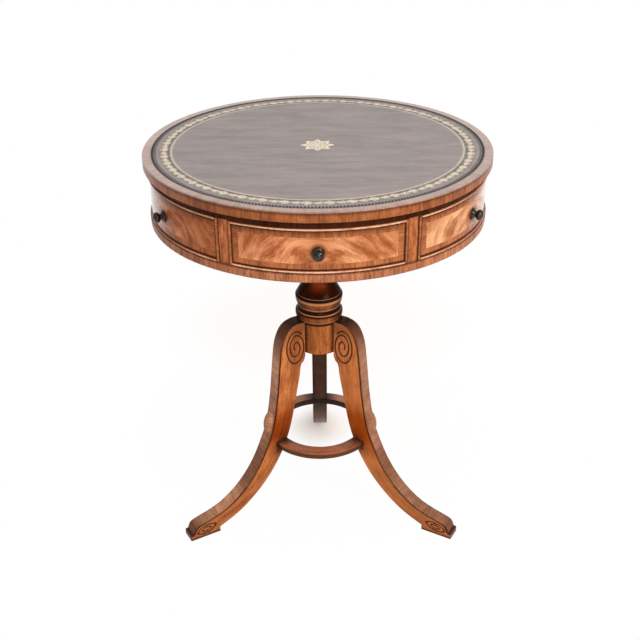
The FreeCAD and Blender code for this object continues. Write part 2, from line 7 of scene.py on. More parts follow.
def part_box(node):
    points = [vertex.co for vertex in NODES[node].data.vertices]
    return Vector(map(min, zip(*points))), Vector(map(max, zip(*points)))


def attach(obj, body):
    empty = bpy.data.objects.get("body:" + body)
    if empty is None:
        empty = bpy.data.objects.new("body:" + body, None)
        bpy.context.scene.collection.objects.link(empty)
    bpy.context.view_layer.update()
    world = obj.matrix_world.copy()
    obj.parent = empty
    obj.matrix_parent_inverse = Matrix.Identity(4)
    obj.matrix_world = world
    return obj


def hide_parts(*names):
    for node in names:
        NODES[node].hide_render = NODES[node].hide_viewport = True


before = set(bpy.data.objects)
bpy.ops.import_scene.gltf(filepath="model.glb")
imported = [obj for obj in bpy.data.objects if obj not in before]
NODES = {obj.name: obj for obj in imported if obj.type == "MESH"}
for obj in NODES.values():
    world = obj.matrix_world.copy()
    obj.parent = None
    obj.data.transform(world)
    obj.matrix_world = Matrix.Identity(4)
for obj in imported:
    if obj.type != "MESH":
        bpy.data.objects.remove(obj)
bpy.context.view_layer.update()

bl_info = {
    "name": "Drum table",
    "version": (1, 0, 0),
    "blender": (4, 5, 0),
    "location": "View3D > Sidebar > Drum table",
    "description": "Dresses the drum table: tooled leather, polished mahogany, carved legs and dark knobs",
    "category": "Object",
}

MM = 0.001
DRAWER_NUMBERS = (1, 2, 3)
LEG_ANGLES = {"leg_front_right": -30.0, "leg_back": 90.0, "leg_front_left": 210.0}
KNOB_ANGLES = {
    "drawer_1_knob": -90.0, "drawer_2_knob": 30.0, "drawer_3_knob": 150.0,
    "dummy_1_knob": -30.0, "dummy_2_knob": 90.0, "dummy_3_knob": 210.0,
}

# Side outline of a sabre leg in millimetres: distance from the table axis and height
LEG_OUTER = [
    (46.0, 352.0), (57.0, 349.0), (66.0, 342.3), (71.6, 333.0), (75.5, 323.0), (78.2, 311.0), (80.8, 289.5),
    (83.5, 262.0), (86.2, 234.0), (89.2, 211.5), (92.2, 192.0), (96.8, 170.0), (102.5, 152.0), (109.8, 134.5),
    (119.6, 113.4), (131.6, 93.0), (146.6, 73.5), (165.2, 55.5), (188.5, 39.8), (213.0, 30.6), (232.0, 25.8),
    (244.5, 20.8), (250.0, 9.5)]
LEG_INNER = [
    (36.0, 281.2), (40.8, 276.0), (43.9, 257.0), (47.0, 241.0), (50.6, 222.0), (56.2, 194.0), (60.4, 175.0),
    (65.0, 158.0), (70.6, 142.0), (79.0, 122.0), (88.0, 105.0), (94.2, 95.0), (101.0, 85.0), (108.3, 75.5),
    (116.5, 66.0), (125.4, 56.8), (135.0, 48.0), (145.2, 39.3), (156.5, 31.0), (169.0, 23.4), (183.5, 16.4),
    (201.0, 9.0)]
LEG_ROOT_RADIUS = 33.0
LEG_HEAD_END = 282.0
LEG_FOOT_START = 196.0
HEEL_RADIUS = 201.0
TOE_RADIUS = 254.0
LEG_ROOT_FLARE_TOP = 290.0
SOLE_HEIGHT = 9.0
KNUCKLE_TOP = 200.5
KNUCKLE_BOTTOM = 152.0
KNUCKLE_LEAN = 1.03
KNUCKLE_REACH = 130.0

# Carved lines of a leg in millimetres: middle and half size of each oval, half width of each cut
SCROLL_MIDDLE = (50.0, 309.5)
SCROLL_HALF = (16.4, 29.0)
SCROLL_CUT_HALF = 1.9
FOOT_MIDDLE = (225.5, 14.4)
FOOT_HALF = (17.0, 7.4)
FOOT_SLOPE = -0.16
FOOT_OVALS = (0.95, 0.42)
FOOT_CUT_HALF = 2.1
EDGE_CUT_PLACE = 1.8
EDGE_CUT_HALF = 2.1
LOW_EDGE_CUT_HALF = 3.0
LOW_LEG_TOP = 70.0
EDGE_CUT_DEPTH = 0.6

# Spiral of a scroll in turns: where it starts, how long it is and how long it keeps its full size,
# and the share of its size that each later turn closes in
SCROLL_START = 0.12
SCROLL_TURNS = 2.5
SCROLL_OUTER_TURN = 0.55
SCROLL_CLOSING = 0.43

# Points over a leg: the rounded corner as distance and drop, the edge line, then even steps.
# The grain shift keeps the figure of the two cheeks apart.
CHEEK_GRAIN_SHIFT = 60.0
CORNER = [(0.0, 0.8), (0.3, 0.25), (0.8, 0.0)]
EDGE_LINE_STEPS = [1.2, 1.6, 2.0, 2.4, 2.8, 3.3, 4.0]
CHEEK_COUNT = 56
FACE_COUNT = 22
BACK_COUNT = 4
HEAD_STEP = 0.7
LEG_STEP = 2.4
FOOT_STEP = 0.5
SOLE_COUNT = 12

SIXTH_TURN = math.pi / 3.0
THIRD_TURN = 2.0 * math.pi / 3.0
FRONT_HALF_ANGLE = math.radians(28.0)

# Colours that years of use leave: dirt, old wax, soot and scratches; and colours of painted shade, painted
# highlights, painted sheen, painted light and a painted reflection
PORE_DIRT = (0.05, 0.015, 0.006)
POLISH_DIRT = (0.1, 0.03, 0.012)
PLAIN_WOOD_DIRT = (0.2, 0.12, 0.06)
# Dark joints, and painted shade along edges and under beads
EDGE_DIRT_AND_SHADE = (0.018, 0.004, 0.001)
# Painted shade beside the cock beads
BEAD_SHADE = (0.035, 0.008, 0.002)
# Dark core of a knob's painted reflection
KNOB_REFLECTION_SHADE = (0.08, 0.02, 0.006)
# Painted shade in the column's quirks and cove, and dark joints by the legs
COLUMN_DIRT_AND_SHADE = (0.02, 0.006, 0.003)
# Painted shade on the stretcher beside the legs
STRETCHER_LEG_SHADE = (0.035, 0.012, 0.006)
STRETCHER_SHADE = (0.02, 0.007, 0.003)
# Dark wax in carved lines, and painted shade on the legs' inner faces
CUT_WAX_AND_SHADE = (0.022, 0.006, 0.002)
# Soot, and painted shade, round the stretcher
LEG_SOOT_AND_SHADE = (0.04, 0.013, 0.006)
# Painted shade on the leg heads
LEG_HEAD_SHADE = (0.012, 0.004, 0.002)
# Dirt and painted shade at the feet
FOOT_DIRT_AND_SHADE = (0.05, 0.015, 0.007)
BLIND_TOOLING = (0.02, 0.015, 0.014)
BORDER_STAIN = (0.2, 0.13, 0.08)
LEATHER_SCRATCH = (0.45, 0.38, 0.34)
WOOD_SCRATCH = (0.72, 0.46, 0.3)
# Wood colour of a knob's painted reflection in the polish
KNOB_REFLECTION_WOOD = (0.4, 0.1, 0.016)
# Painted highlight on the beads
BEAD_HIGHLIGHT = (0.95, 0.56, 0.37)
# Painted glints on the column's edges
TURNING_GLINT = (0.84, 0.37, 0.18)
# Painted light on the dome's front
DOME_FRONT_LIGHT = (0.7, 0.11, 0.014)
# Painted shade on the legs' faces, and their darker low faces and toes
DARK_FACE_AND_SHADE = (0.115, 0.034, 0.012)
# Painted sheen on the stretcher
STRETCHER_SHEEN = (0.5, 0.27, 0.18)


def tinted(colour, share):
    return [part * share for part in colour]


# Sizes and colours that a user would change

def amount_property(name, description, default, **limits):
    return bpy.props.FloatProperty(name=name, description=description, default=default, **limits)


def length_property(name, description, default):
    return amount_property(name, description, default, min=0.0, unit="LENGTH")


def colour_property(name, description, default):
    return bpy.props.FloatVectorProperty(
        name=name, description=description, default=default, size=3, min=0.0, max=1.0, subtype="COLOR")


class DrumTableSizes(bpy.types.PropertyGroup):
    """Sizes of the tooling, the veneer borders and the carving"""
    leather_radius: length_property(
        "Leather radius", "Outer edge of the leather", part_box("leather_inset")[1].x)
    border_radius: length_property("Border radius", "Middle of the gold border", 0.2242)
    star_radius: length_property("Star radius", "Reach of the gold star's points", 0.0245)
    drum_radius: length_property("Drum radius", "Face of the curved fronts", 0.247)
    band_height: length_property("Crossband height", "Veneer border over and under a front's panel", 0.0128)
    band_end: length_property("Crossband end", "Veneer border at the ends of a front", 0.0138)
    scroll_depth: length_property("Scroll depth", "Depth of the cut lines of the leg scrolls", 0.0011)
    leg_thickness: length_property("Leg thickness", "Width of a leg's outer face", 0.025)
    knuckle_rise: length_property("Knuckle rise", "How far the knuckle stands out from the leg", 0.0102)


class DrumTableColours(bpy.types.PropertyGroup):
    """Colours of the finishes"""
    panel_light: colour_property("Panel light", "Light figure of the front veneer", (1.0, 0.46, 0.22))
    panel_dark: colour_property("Panel dark", "Dark figure of the front veneer", (0.4, 0.108, 0.03))
    band_light: colour_property("Crossband light", "Light grain of the crossbanding", (0.5, 0.15, 0.043))
    band_dark: colour_property("Crossband dark", "Dark grain of the crossbanding", (0.17, 0.04, 0.008))
    rail_light: colour_property("Rail light", "Light grain of the bottom rail", (0.62, 0.235, 0.112))
    rail_dark: colour_property("Rail dark", "Dark grain of the bottom rail", (0.3, 0.095, 0.038))
    # The rim's light, greyish tones are partly painted sheen; the wood of the rim is browner.
    rim_sheen_light: colour_property("Rim light", "Light grain of the bleached rim", (0.46, 0.26, 0.18))
    rim_sheen_dark: colour_property("Rim dark", "Dark grain of the bleached rim", (0.26, 0.13, 0.085))
    leg_light: colour_property("Leg light", "Light grain of the legs", (0.74, 0.236, 0.068))
    leg_dark: colour_property("Leg dark", "Dark grain of the legs", (0.34, 0.088, 0.022))
    # Colours of the column's wood in shade: painted shade. Where light falls the column takes the legs'
    # colours.
    shaded_column_light: colour_property("Column light", "Light grain of the column", (0.04, 0.006, 0.001))
    shaded_column_dark: colour_property("Column dark", "Dark grain of the column", (0.016, 0.0026, 0.0005))
    # The leather's greyish tone is partly painted sheen.
    leather: colour_property("Leather", "Faded brown leather", (0.311, 0.268, 0.257))
    gold: colour_property("Gold", "Worn gold leaf of the tooling", (0.82, 0.71, 0.54))
    bronze: colour_property("Bronze", "Dark antique bronze of the knobs", (0.035, 0.027, 0.022))
    oak: colour_property("Oak", "Drawer linings", (0.5, 0.33, 0.17))
    deal: colour_property("Deal", "Unpolished carcass wood", (0.52, 0.35, 0.19))


class DrumTableStage(bpy.types.PropertyGroup):
    """Light, floor and camera"""
    world_strength: amount_property("Soft light", "Strength of the even light from above", 0.5, min=0.0)
    key_power: amount_property(
        "Key lamp", "Power of the large lamp over the front", 56.0, min=0.0, unit="POWER")
    fill_power: amount_property("Fill lamp", "Power of the low lamp in front", 13.0, min=0.0, unit="POWER")
    floor_white: amount_property(
        "Floor white", "Share of plain white that the floor shows", 0.955, min=0.0, max=1.0,
        subtype="FACTOR")
    lens: amount_property("Lens", "Focal length in millimetres", 55.68, min=1.0)
    camera_place: bpy.props.FloatVectorProperty(
        name="Camera place", description="Where the camera stands", default=(0.00139, -1.39345, 1.11198),
        subtype="TRANSLATION", unit="LENGTH")
    camera_tilt: amount_property(
        "Camera tilt", "Angle up from straight down", math.radians(61.022), subtype="ANGLE")
    camera_roll: amount_property("Camera roll", "Turn about the line of sight", -0.0084, subtype="ANGLE")


def sizes():
    return bpy.context.scene.drum_table_sizes


def colours():
    return bpy.context.scene.drum_table_colours


# Short calls that build one node tree

class Tree:
    """Adds nodes to a tree. A value is a number, a colour or another node's output."""

    def __init__(self, tree):
        self.tree = tree

    def node(self, kind, **settings):
        made = self.tree.nodes.new(kind)
        for name, value in settings.items():
            setattr(made, name, value)
        return made

    def put(self, socket, value):
        if isinstance(value, bpy.types.NodeSocket):
            self.tree.links.new(value, socket)
        elif hasattr(value, "__len__") and len(value) == 3 and socket.type == "RGBA":
            socket.default_value = (*value, 1.0)
        else:
            socket.default_value = value

    def math(self, operation, *values, clamp=False):
        made = self.node("ShaderNodeMath", operation=operation, use_clamp=clamp)
        for socket, value in zip(made.inputs, values):
            self.put(socket, value)
        return made.outputs[0]

    def add(self, first, second):
        return self.math("ADD", first, second)

    def take(self, first, second):
        return self.math("SUBTRACT", first, second)

    def times(self, first, second, clamp=False):
        return self.math("MULTIPLY", first, second, clamp=clamp)

    def either(self, *masks):
        result = masks[0]
        for mask in masks[1:]:
            result = self.math("MAXIMUM", result, mask)
        return result

    def fade(self, value, low, high, start=0.0, end=1.0):
        made = self.node("ShaderNodeMapRange", interpolation_type="SMOOTHSTEP")
        for socket, item in zip(made.inputs[:5], (value, low, high, start, end)):
            self.put(socket, item)
        return made.outputs[0]

    def near(self, value, middle, half, soft):
        """1 within half of the middle, fading to 0 over soft."""
        distance = self.math("ABSOLUTE", self.take(value, middle))
        return self.fade(distance, half, half + soft, 1.0, 0.0)

    def mix(self, factor, first, second, blend="MIX"):
        made = self.node("ShaderNodeMix", data_type="RGBA", blend_type=blend)
        self.put(made.inputs[0], factor)
        self.put(made.inputs[6], first)
        self.put(made.inputs[7], second)
        return made.outputs[2]

    def vector(self, x, y, z):
        made = self.node("ShaderNodeCombineXYZ")
        for socket, value in zip(made.inputs, (x, y, z)):
            self.put(socket, value)
        return made.outputs[0]

    def parts(self, vector):
        made = self.node("ShaderNodeSeparateXYZ")
        self.put(made.inputs[0], vector)
        return made.outputs

    def stretch(self, vector, x, y, z):
        made = self.node("ShaderNodeVectorMath", operation="MULTIPLY")
        self.put(made.inputs[0], vector)
        self.put(made.inputs[1], (x, y, z))
        return made.outputs[0]

    def noise(self, vector, scale=1.0, detail=3.0, roughness=0.55, distortion=0.0):
        made = self.node("ShaderNodeTexNoise")
        self.put(made.inputs["Vector"], vector)
        for name, value in (
                ("Scale", scale), ("Detail", detail), ("Roughness", roughness), ("Distortion", distortion)):
            self.put(made.inputs[name], value)
        return made.outputs["Fac"]

    def place(self):
        return self.node("ShaderNodeTexCoord").outputs["Object"]

    def use(self, group, **values):
        made = self.node("ShaderNodeGroup")
        made.node_tree = group
        for name, value in values.items():
            self.put(made.inputs[name], value)
        return made.outputs

    def give_out(self, **values):
        target = self.node("NodeGroupOutput").inputs
        for name, value in values.items():
            self.put(target[name], value)

    def mix_shaders(self, factor, first, second, target):
        both = self.node("ShaderNodeMixShader")
        for socket, value in zip(both.inputs, (factor, first, second)):
            self.put(socket, value)
        self.put(target, both.outputs[0])

    def unsigned(self, value):
        return self.math("ABSOLUTE", value)

    def length(self, first, second):
        """Long side of a right triangle from its two short sides."""
        return self.math("SQRT", self.add(self.times(first, first), self.times(second, second)))

    def swing(self, noise, amount):
        """A noise that goes to both sides of nothing."""
        return self.times(self.take(noise, 0.5), amount)

    def cosine(self, angle, count):
        return self.math("COSINE", self.times(angle, count))

    def where(self):
        return self.use(drum_places())

    def marks(self, vector):
        return self.use(years_of_use(), Vector=vector)

    def grain(self, vector, light, dark, figure, pores):
        return self.use(
            wood_grain(), Vector=vector, Light=light, Dark=dark, Figure=figure, Pores=pores)


# Effects that several finishes share

def new_group(name, inputs, outputs):
    group = bpy.data.node_groups.new(name, "ShaderNodeTree")
    for label, kind, default in inputs:
        socket = group.interface.new_socket(label, in_out="INPUT", socket_type="NodeSocket" + kind)
        if default is not None:
            socket.default_value = default
    for label, kind in outputs:
        group.interface.new_socket(label, in_out="OUTPUT", socket_type="NodeSocket" + kind)
    return group, Tree(group)


def node_group(build):
    """Builds a group when it is first asked for, and gives the same one each time after that."""
    def get():
        return bpy.data.node_groups.get(build.__name__) or build(build.__name__)
    return get


@node_group
def drum_places(name):
    """Where a point lies on the drum: along its own sixth, its height, radius, angle and sixth."""
    outputs = ("Along", "Aside", "Height", "Radius", "Angle", "Sixth")
    group, tree = new_group(name, [], [(label, "Float") for label in outputs])
    x, y, z = tree.parts(tree.place())
    radius = tree.length(x, y)
    angle = tree.math("ARCTAN2", y, x)
    sixth = tree.math("FLOOR", tree.math("DIVIDE", angle, SIXTH_TURN))
    local = tree.take(angle, tree.times(tree.add(sixth, 0.5), SIXTH_TURN))
    along = tree.times(local, sizes().drum_radius)
    aside = tree.unsigned(along)
    tree.give_out(Along=along, Aside=aside, Height=z, Radius=radius, Angle=angle, Sixth=sixth)
    return group


@node_group
def leg_places(name):
    """How far a point lies beside the middle plane of the nearest leg."""
    group, tree = new_group(name, [], [("Beside", "Float")])
    where = tree.where()
    turned = tree.add(where["Angle"], math.pi / 6.0 + 2.5 * THIRD_TURN)
    turn = tree.math("FRACT", tree.math("DIVIDE", turned, THIRD_TURN))
    aside = tree.times(tree.unsigned(tree.take(turn, 0.5)), THIRD_TURN)
    tree.give_out(Beside=tree.times(tree.math("SINE", aside), where["Radius"]))
    return group


@node_group
def wood_grain(name):
    """Mahogany grain. The vector's X runs across the grain, Y along it, in metres."""
    group, tree = new_group(
        name,
        [("Vector", "Vector", None), ("Light", "Color", (0.6, 0.2, 0.08, 1)),
         ("Dark", "Color", (0.4, 0.1, 0.03, 1)), ("Figure", "Float", 0.8), ("Pores", "Float", 0.4)],
        [("Color", "Color"), ("Roughness", "Float"), ("Height", "Float")])
    source = tree.node("NodeGroupInput").outputs
    vector = source["Vector"]
    streak = tree.noise(tree.stretch(vector, 210, 16, 210), detail=4.0, roughness=0.6, distortion=0.5)
    figure = tree.noise(tree.stretch(vector, 34, 15, 34), detail=3.0, roughness=0.55, distortion=1.3)
    pores = tree.fade(tree.noise(tree.stretch(vector, 760, 120, 760), detail=3.0), 0.53, 0.68)
    lean = tree.times(tree.swing(figure, source["Figure"]), 3.0)
    share = tree.fade(tree.add(tree.swing(streak, 2.0), lean), -0.7, 0.7)
    shade = tree.mix(share, source["Dark"], source["Light"])
    tree.give_out(
        Color=tree.mix(tree.times(pores, source["Pores"]), shade, PORE_DIRT),
        Roughness=tree.add(tree.times(pores, 0.12), tree.times(streak, 0.14)),
        Height=tree.take(tree.times(streak, 0.4), tree.times(pores, 0.8)))
    return group


@node_group
def years_of_use(name):
    """Fine scratches and darkened patches that old polish has."""
    group, tree = new_group(
        name, [("Vector", "Vector", None)], [("Scratches", "Float"), ("Patches", "Float")])
    vector = tree.node("NodeGroupInput").outputs["Vector"]
    first = tree.fade(tree.noise(tree.stretch(vector, 26, 900, 300), detail=1.0), 0.69, 0.74)
    second = tree.fade(tree.noise(tree.stretch(vector, 800, 30, 260), detail=1.0), 0.7, 0.75)
    patches = tree.fade(tree.noise(vector, 17.0, 4.0, 0.6), 0.42, 0.72)
    tree.give_out(Scratches=tree.either(first, second), Patches=patches)
    return group


def from_front(tree, where):
    """Angle between a point and the middle of the front drawer."""
    return tree.unsigned(tree.add(where["Angle"], math.pi / 2.0))


def front_half_length():
    return sizes().drum_radius * FRONT_HALF_ANGLE


# Finishes

def start_finish(name, roughness=0.4, coat=0.0, coat_roughness=0.08, metallic=0.0, specular=0.15):
    material = bpy.data.materials.new(name)
    material.use_nodes = True
    tree = Tree(material.node_tree)
    shader = material.node_tree.nodes["Principled BSDF"]
    values = {
        "Roughness": roughness, "Coat Weight": coat, "Coat Roughness": coat_roughness, "Metallic": metallic,
        "Specular IOR Level": specular}
    for label, value in values.items():
        shader.inputs[label].default_value = value
    return material, tree, shader.inputs


def bump(tree, inputs, height, strength, distance):
    made = tree.node("ShaderNodeBump")
    made.inputs["Strength"].default_value = strength
    made.inputs["Distance"].default_value = distance
    tree.put(made.inputs["Height"], height)
    tree.put(inputs["Normal"], made.outputs[0])


def polish(
        tree, inputs, grain, shade, place, roughness=0.22, dirt=POLISH_DIRT, dirt_share=0.3, scratch=0.12):
    """Puts a grain, its colour and the marks of use on the shader."""
    marks = tree.marks(place)
    worn = tree.mix(tree.times(marks["Patches"], dirt_share), shade, dirt)
    worn = tree.mix(tree.times(marks["Scratches"], scratch), worn, WOOD_SCRATCH)
    tree.put(inputs["Base Color"], worn)
    gloss = tree.add(tree.times(grain["Roughness"], 0.8), tree.times(marks["Patches"], 0.07))
    gloss = tree.add(gloss, tree.times(marks["Scratches"], 0.12))
    tree.put(inputs["Roughness"], tree.add(gloss, roughness))
    bump(tree, inputs, tree.take(grain["Height"], tree.times(marks["Scratches"], 0.5)), 0.12, 0.0004)


def wood_finish(
        name, light, dark, across, along, figure=0.4, pores=0.5, coat=0.1, roughness=0.24, dirt_share=0.25,
        dirt_and_shade=(), fine=1.9, tone=1.0, specular=0.15, scratch=0.1):
    """Polished wood whose grain follows two of the drum's measures: Along, Height, Radius or Angle.

    Each darkening is a measure, where it starts, where it is full and how dark it gets: dark joints, and
    painted shade along edges and under beads."""
    material, tree, inputs = start_finish(name, coat=coat, coat_roughness=0.12, specular=specular)
    where = tree.where()
    offset = tree.times(where["Sixth"], 0.37)
    vector = tree.vector(
        tree.times(tree.add(where[across], offset), fine), where[along], tree.times(where["Sixth"], 0.11))
    grain = tree.grain(vector, tinted(light, tone), tinted(dark, tone), figure, pores)
    shade = grain["Color"]
    for measure, fade_start, fade_end, share in dirt_and_shade:
        shade = tree.mix(tree.fade(where[measure], fade_start, fade_end, 0.0, share), shade, EDGE_DIRT_AND_SHADE)
    polish(tree, inputs, grain, shade, tree.place(), roughness, dirt_share=dirt_share, scratch=scratch)
    return material


def flame_figure(tree, where, rise, offset):
    """Arched flame of the panel: its colour, its fine grain and the clouds in it."""
    palette = colours()
    along = where["Along"]

    def drawn(first, first_scale, second, second_scale, detail, roughness=0.55):
        place = tree.vector(tree.times(first, first_scale), tree.times(second, second_scale), offset)
        return tree.noise(place, 1.0, detail, roughness)

    low_rise = tree.times(tree.add(rise, 0.036), 1.2)
    arch = tree.length(where["Aside"], low_rise)
    slant = tree.math("ARCTAN2", low_rise, where["Aside"])
    sway = tree.noise(tree.vector(tree.times(along, 13.0), offset, tree.times(rise, 17.0)), 1.0, 1.0)
    arch = tree.add(arch, tree.swing(sway, 0.032))
    broad = drawn(arch, 64.0, slant, 1.5, 2.0, 0.5)
    narrow = drawn(arch, 420.0, slant, 4.0, 3.0, 0.6)
    cloud = drawn(along, 26.0, rise, 34.0, 3.0, 0.6)
    fleck = drawn(along, 700.0, rise, 420.0, 2.0)
    spread = tree.add(tree.swing(broad, 2.7), tree.swing(narrow, 0.9))
    spread = tree.add(spread, tree.swing(cloud, 1.3))
    spread = tree.add(spread, tree.swing(fleck, 0.8))
    shade = tree.mix(tree.fade(spread, -0.62, 0.66), palette.panel_dark, palette.panel_light)
    hairs = tree.vector(tree.times(arch, 1.6), tree.times(slant, 0.03), offset)
    fine = tree.grain(hairs, (1.0, 1.0, 1.0), (0.66, 0.6, 0.56), 0.2, 0.45)
    return tree.mix(0.7, shade, fine["Color"], "MULTIPLY"), fine, cloud


def leaf_tones(tree, where, rise, cloud, shade):
    """Painted shade on the left front, painted sheen on the right front, a lighter left half on the front
    drawer, and darker corners and heart.
    """
    aside = where["Aside"]
    # Painted shade darkens the left front and painted sheen pales the right front; the front drawer is
    # lighter on its left half.
    left_front_shade = tree.fade(where["Sixth"], -2.8, -2.2, 0.8, 0.0)
    right_front_sheen = tree.near(where["Sixth"], -1.0, 0.2, 0.2)
    left_half = tree.times(
        tree.near(where["Sixth"], -2.0, 0.2, 0.2), tree.fade(where["Along"], -0.06, 0.02, 0.7, 0.0))
    shade = tree.mix(left_front_shade, shade, (0.86, 0.72, 0.62), "MULTIPLY")
    shade = tree.mix(right_front_sheen, shade, (1.07, 1.25, 1.36), "MULTIPLY")
    shade = tree.mix(left_half, shade, (1.18, 1.08, 1.12), "MULTIPLY")
    corner = tree.times(tree.fade(aside, 0.045, 0.1, 0.0, 0.6), tree.fade(rise, -0.004, 0.02))
    heart = tree.times(tree.fade(aside, 0.004, 0.05, 0.4, 0.0), tree.fade(cloud, 0.35, 0.6))
    for mask in (corner, heart):
        shade = tree.mix(mask, shade, colours().panel_dark)
    return shade


def knob_reflection(tree, where, rise, middle, shade):
    """Painted reflection of the knob in the polish, with painted shade next to the knob, longer along the
    side fronts.
    """
    low, high = (corner.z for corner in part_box("drawer_1_knob"))
    under_knob = tree.take(rise, (low + high) / 2.0 - middle)
    beside_knob = tree.times(where["Aside"], tree.fade(from_front(tree, where), 0.4, 0.9, 1.0, 0.58))
    away = tree.length(beside_knob, under_knob)
    shade = tree.mix(tree.fade(away, 0.0105, 0.0138, 0.8, 0.0), shade, KNOB_REFLECTION_WOOD)
    return tree.mix(tree.fade(away, 0.0075, 0.0105, 0.6, 0.0), shade, KNOB_REFLECTION_SHADE)


def front_finish():
    """Veneered front: a mirrored panel whose figure arches over its middle, in a crossbanded border."""
    material, tree, inputs = start_finish("flame_veneer", coat_roughness=0.08, specular=0.04)
    turned_away = tree.node("ShaderNodeLayerWeight").outputs["Facing"]
    tree.put(inputs["Coat Weight"], tree.fade(turned_away, 0.5, 0.84, 0.01, 1.0))
    where = tree.where()
    low, high = (corner.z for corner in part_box("drawer_1_front"))
    middle = (low + high) / 2.0
    half_height = (high - low) / 2.0
    rise = tree.take(where["Height"], middle)
    from_top = tree.take(half_height, tree.unsigned(rise))
    from_end = tree.take(front_half_length(), where["Aside"])
    top_edge = tree.take(from_top, sizes().band_height)
    end_edge = tree.take(from_end, sizes().band_end)
    panel = tree.fade(tree.math("MINIMUM", top_edge, end_edge), -0.0004, 0.0004)

    offset = tree.times(where["Sixth"], 0.61)
    shade, fine, cloud = flame_figure(tree, where, rise, offset)
    shade = leaf_tones(tree, where, rise, cloud, shade)
    shade = knob_reflection(tree, where, rise, middle, shade)

    upright = tree.fade(tree.take(top_edge, end_edge), -0.0001, 0.0001)
    band_across = tree.mix(
        upright, tree.vector(tree.times(where["Along"], 1.9), rise, 0.3),
        tree.vector(tree.times(rise, 1.9), where["Along"], 0.7))
    band = tree.grain(band_across, (0.58, 0.19, 0.072), (0.25, 0.07, 0.022), 0.8, 0.6)
    shade = tree.mix(panel, band["Color"], shade)
    # Painted shade: a dark line just inside the cock bead and a soft shadow under the top bead.
    edge = tree.fade(tree.math("MINIMUM", from_top, from_end), 0.0039, 0.0066, 0.97, 0.0)
    under_bead = tree.fade(tree.take(half_height, rise), 0.004, 0.0125, 0.6, 0.0)
    shade = tree.mix(tree.either(edge, under_bead), shade, BEAD_SHADE)
    polish(tree, inputs, fine, shade, tree.place(), 0.18, dirt_share=0.15)
    return material


def bead_finish():
    """Rounded cock bead with a painted highlight along its crown on the level runs, most at the front of the
    table.
    """
    material, tree, inputs = start_finish("highlit_bead", coat=0.2, coat_roughness=0.1, specular=0.1)
    palette = colours()
    where = tree.where()
    vector = tree.vector(tree.times(where["Height"], 0.6), where["Along"], where["Sixth"])
    grain = tree.grain(vector, palette.band_light, palette.band_dark, 0.4, 0.3)
    face = sizes().drum_radius
    crown = tree.fade(where["Radius"], face + 0.0012, face + 0.0025)
    # The pale crown is a painted highlight, broken by noise.
    rubbed = tree.times(crown, tree.fade(tree.noise(tree.place(), 60.0, 3.0), 0.3, 0.55, 0.35, 1.0))
    end = front_half_length()
    rubbed = tree.times(rubbed, tree.fade(where["Aside"], end - 0.006, end - 0.003, 0.85, 0.06))
    rubbed = tree.times(rubbed, tree.fade(from_front(tree, where), 0.55, 1.05, 1.0, 0.3))
    shade = tree.mix(rubbed, grain["Color"], BEAD_HIGHLIGHT)
    polish(tree, inputs, grain, shade, tree.place(), 0.2, dirt_share=0.1)
    return material


def palmettes(tree, where, count, shift, reach, middle, way=1.0):
    """A ring of stamped palmettes with five lobes. Way points them outwards or inwards."""
    step = 2.0 * math.pi / count
    turns = tree.add(tree.math("DIVIDE", where["Angle"], step), shift)
    side = tree.times(tree.take(tree.math("FRACT", turns), 0.5), step * middle)
    rise = tree.add(tree.times(tree.take(where["Radius"], middle), way), reach * 0.45)
    size = tree.length(side, rise)
    turn = tree.math("ARCTAN2", side, rise)
    lobes = tree.unsigned(tree.cosine(turn, 2.5))
    open_side = tree.fade(tree.unsigned(turn), 1.75, 2.3, 1.0, 0.3)
    limit = tree.times(tree.add(tree.times(lobes, reach * 0.5), reach * 0.55), open_side)
    return tree.fade(tree.take(size, limit), -0.0004, 0.0004, 1.0, 0.0)


def gold_border(tree, where):
    """Palmettes large and small on a vine, inside them a fine rule."""
    radius = where["Radius"]
    middle = sizes().border_radius
    large = palmettes(tree, where, 48, 0.0, 0.0074, middle + 0.0004)
    small = palmettes(tree, where, 48, 0.5, 0.0054, middle)
    sprigs = tree.either(
        palmettes(tree, where, 96, 0.25, 0.0032, middle + 0.0024),
        palmettes(tree, where, 96, 0.25, 0.0034, middle - 0.0046, -1.0),
        palmettes(tree, where, 48, 0.0, 0.0046, middle - 0.0052, -1.0))
    sway = tree.times(tree.cosine(where["Angle"], 48.0), 0.0034)
    vine = tree.near(radius, tree.add(middle - 0.0024, sway), 0.0006, 0.0006)
    rule = tree.either(
        tree.near(radius, middle - 0.0112, 0.0006, 0.0004),
        tree.times(tree.near(radius, middle - 0.0134, 0.0003, 0.0003), 0.3))
    whole = tree.either(large, small, tree.times(sprigs, 0.7), tree.times(vine, 0.6), rule)
    return tree.times(whole, 0.75)


# Wavy rings in the star: radius, bend, half width and soft edge
STAR_CURLS = [
    (0.0142, 0.0016, 0.0005, 0.0005), (0.0092, -0.0022, 0.0006, 0.0005), (0.0046, 0.0012, 0.0005, 0.0004)]


def gold_star(tree, where):
    """Star of eight leaves, with wavy rings and rays left open in the gold."""
    radius = where["Radius"]
    angle = where["Angle"]
    points = sizes().star_radius
    leaves = tree.math("POWER", tree.unsigned(tree.cosine(angle, 4.0)), 3.2)
    reach = tree.add(tree.times(leaves, points * 0.28), points * 0.72)
    star = tree.fade(tree.take(radius, reach), -0.0005, 0.0003, 1.0, 0.0)
    eight = tree.cosine(angle, 8.0)
    from_ray = tree.unsigned(tree.math("SINE", tree.times(angle, 4.0)))
    rays = tree.times(tree.fade(from_ray, 0.12, 0.3, 1.0, 0.0), tree.near(radius, 0.0135, 0.0035, 0.001))
    curls = [
        tree.near(radius, tree.add(circle, tree.times(eight, bend)), half, soft)
        for circle, bend, half, soft in STAR_CURLS]
    return tree.times(star, tree.take(1.0, tree.times(tree.either(*curls, rays), 0.75)))


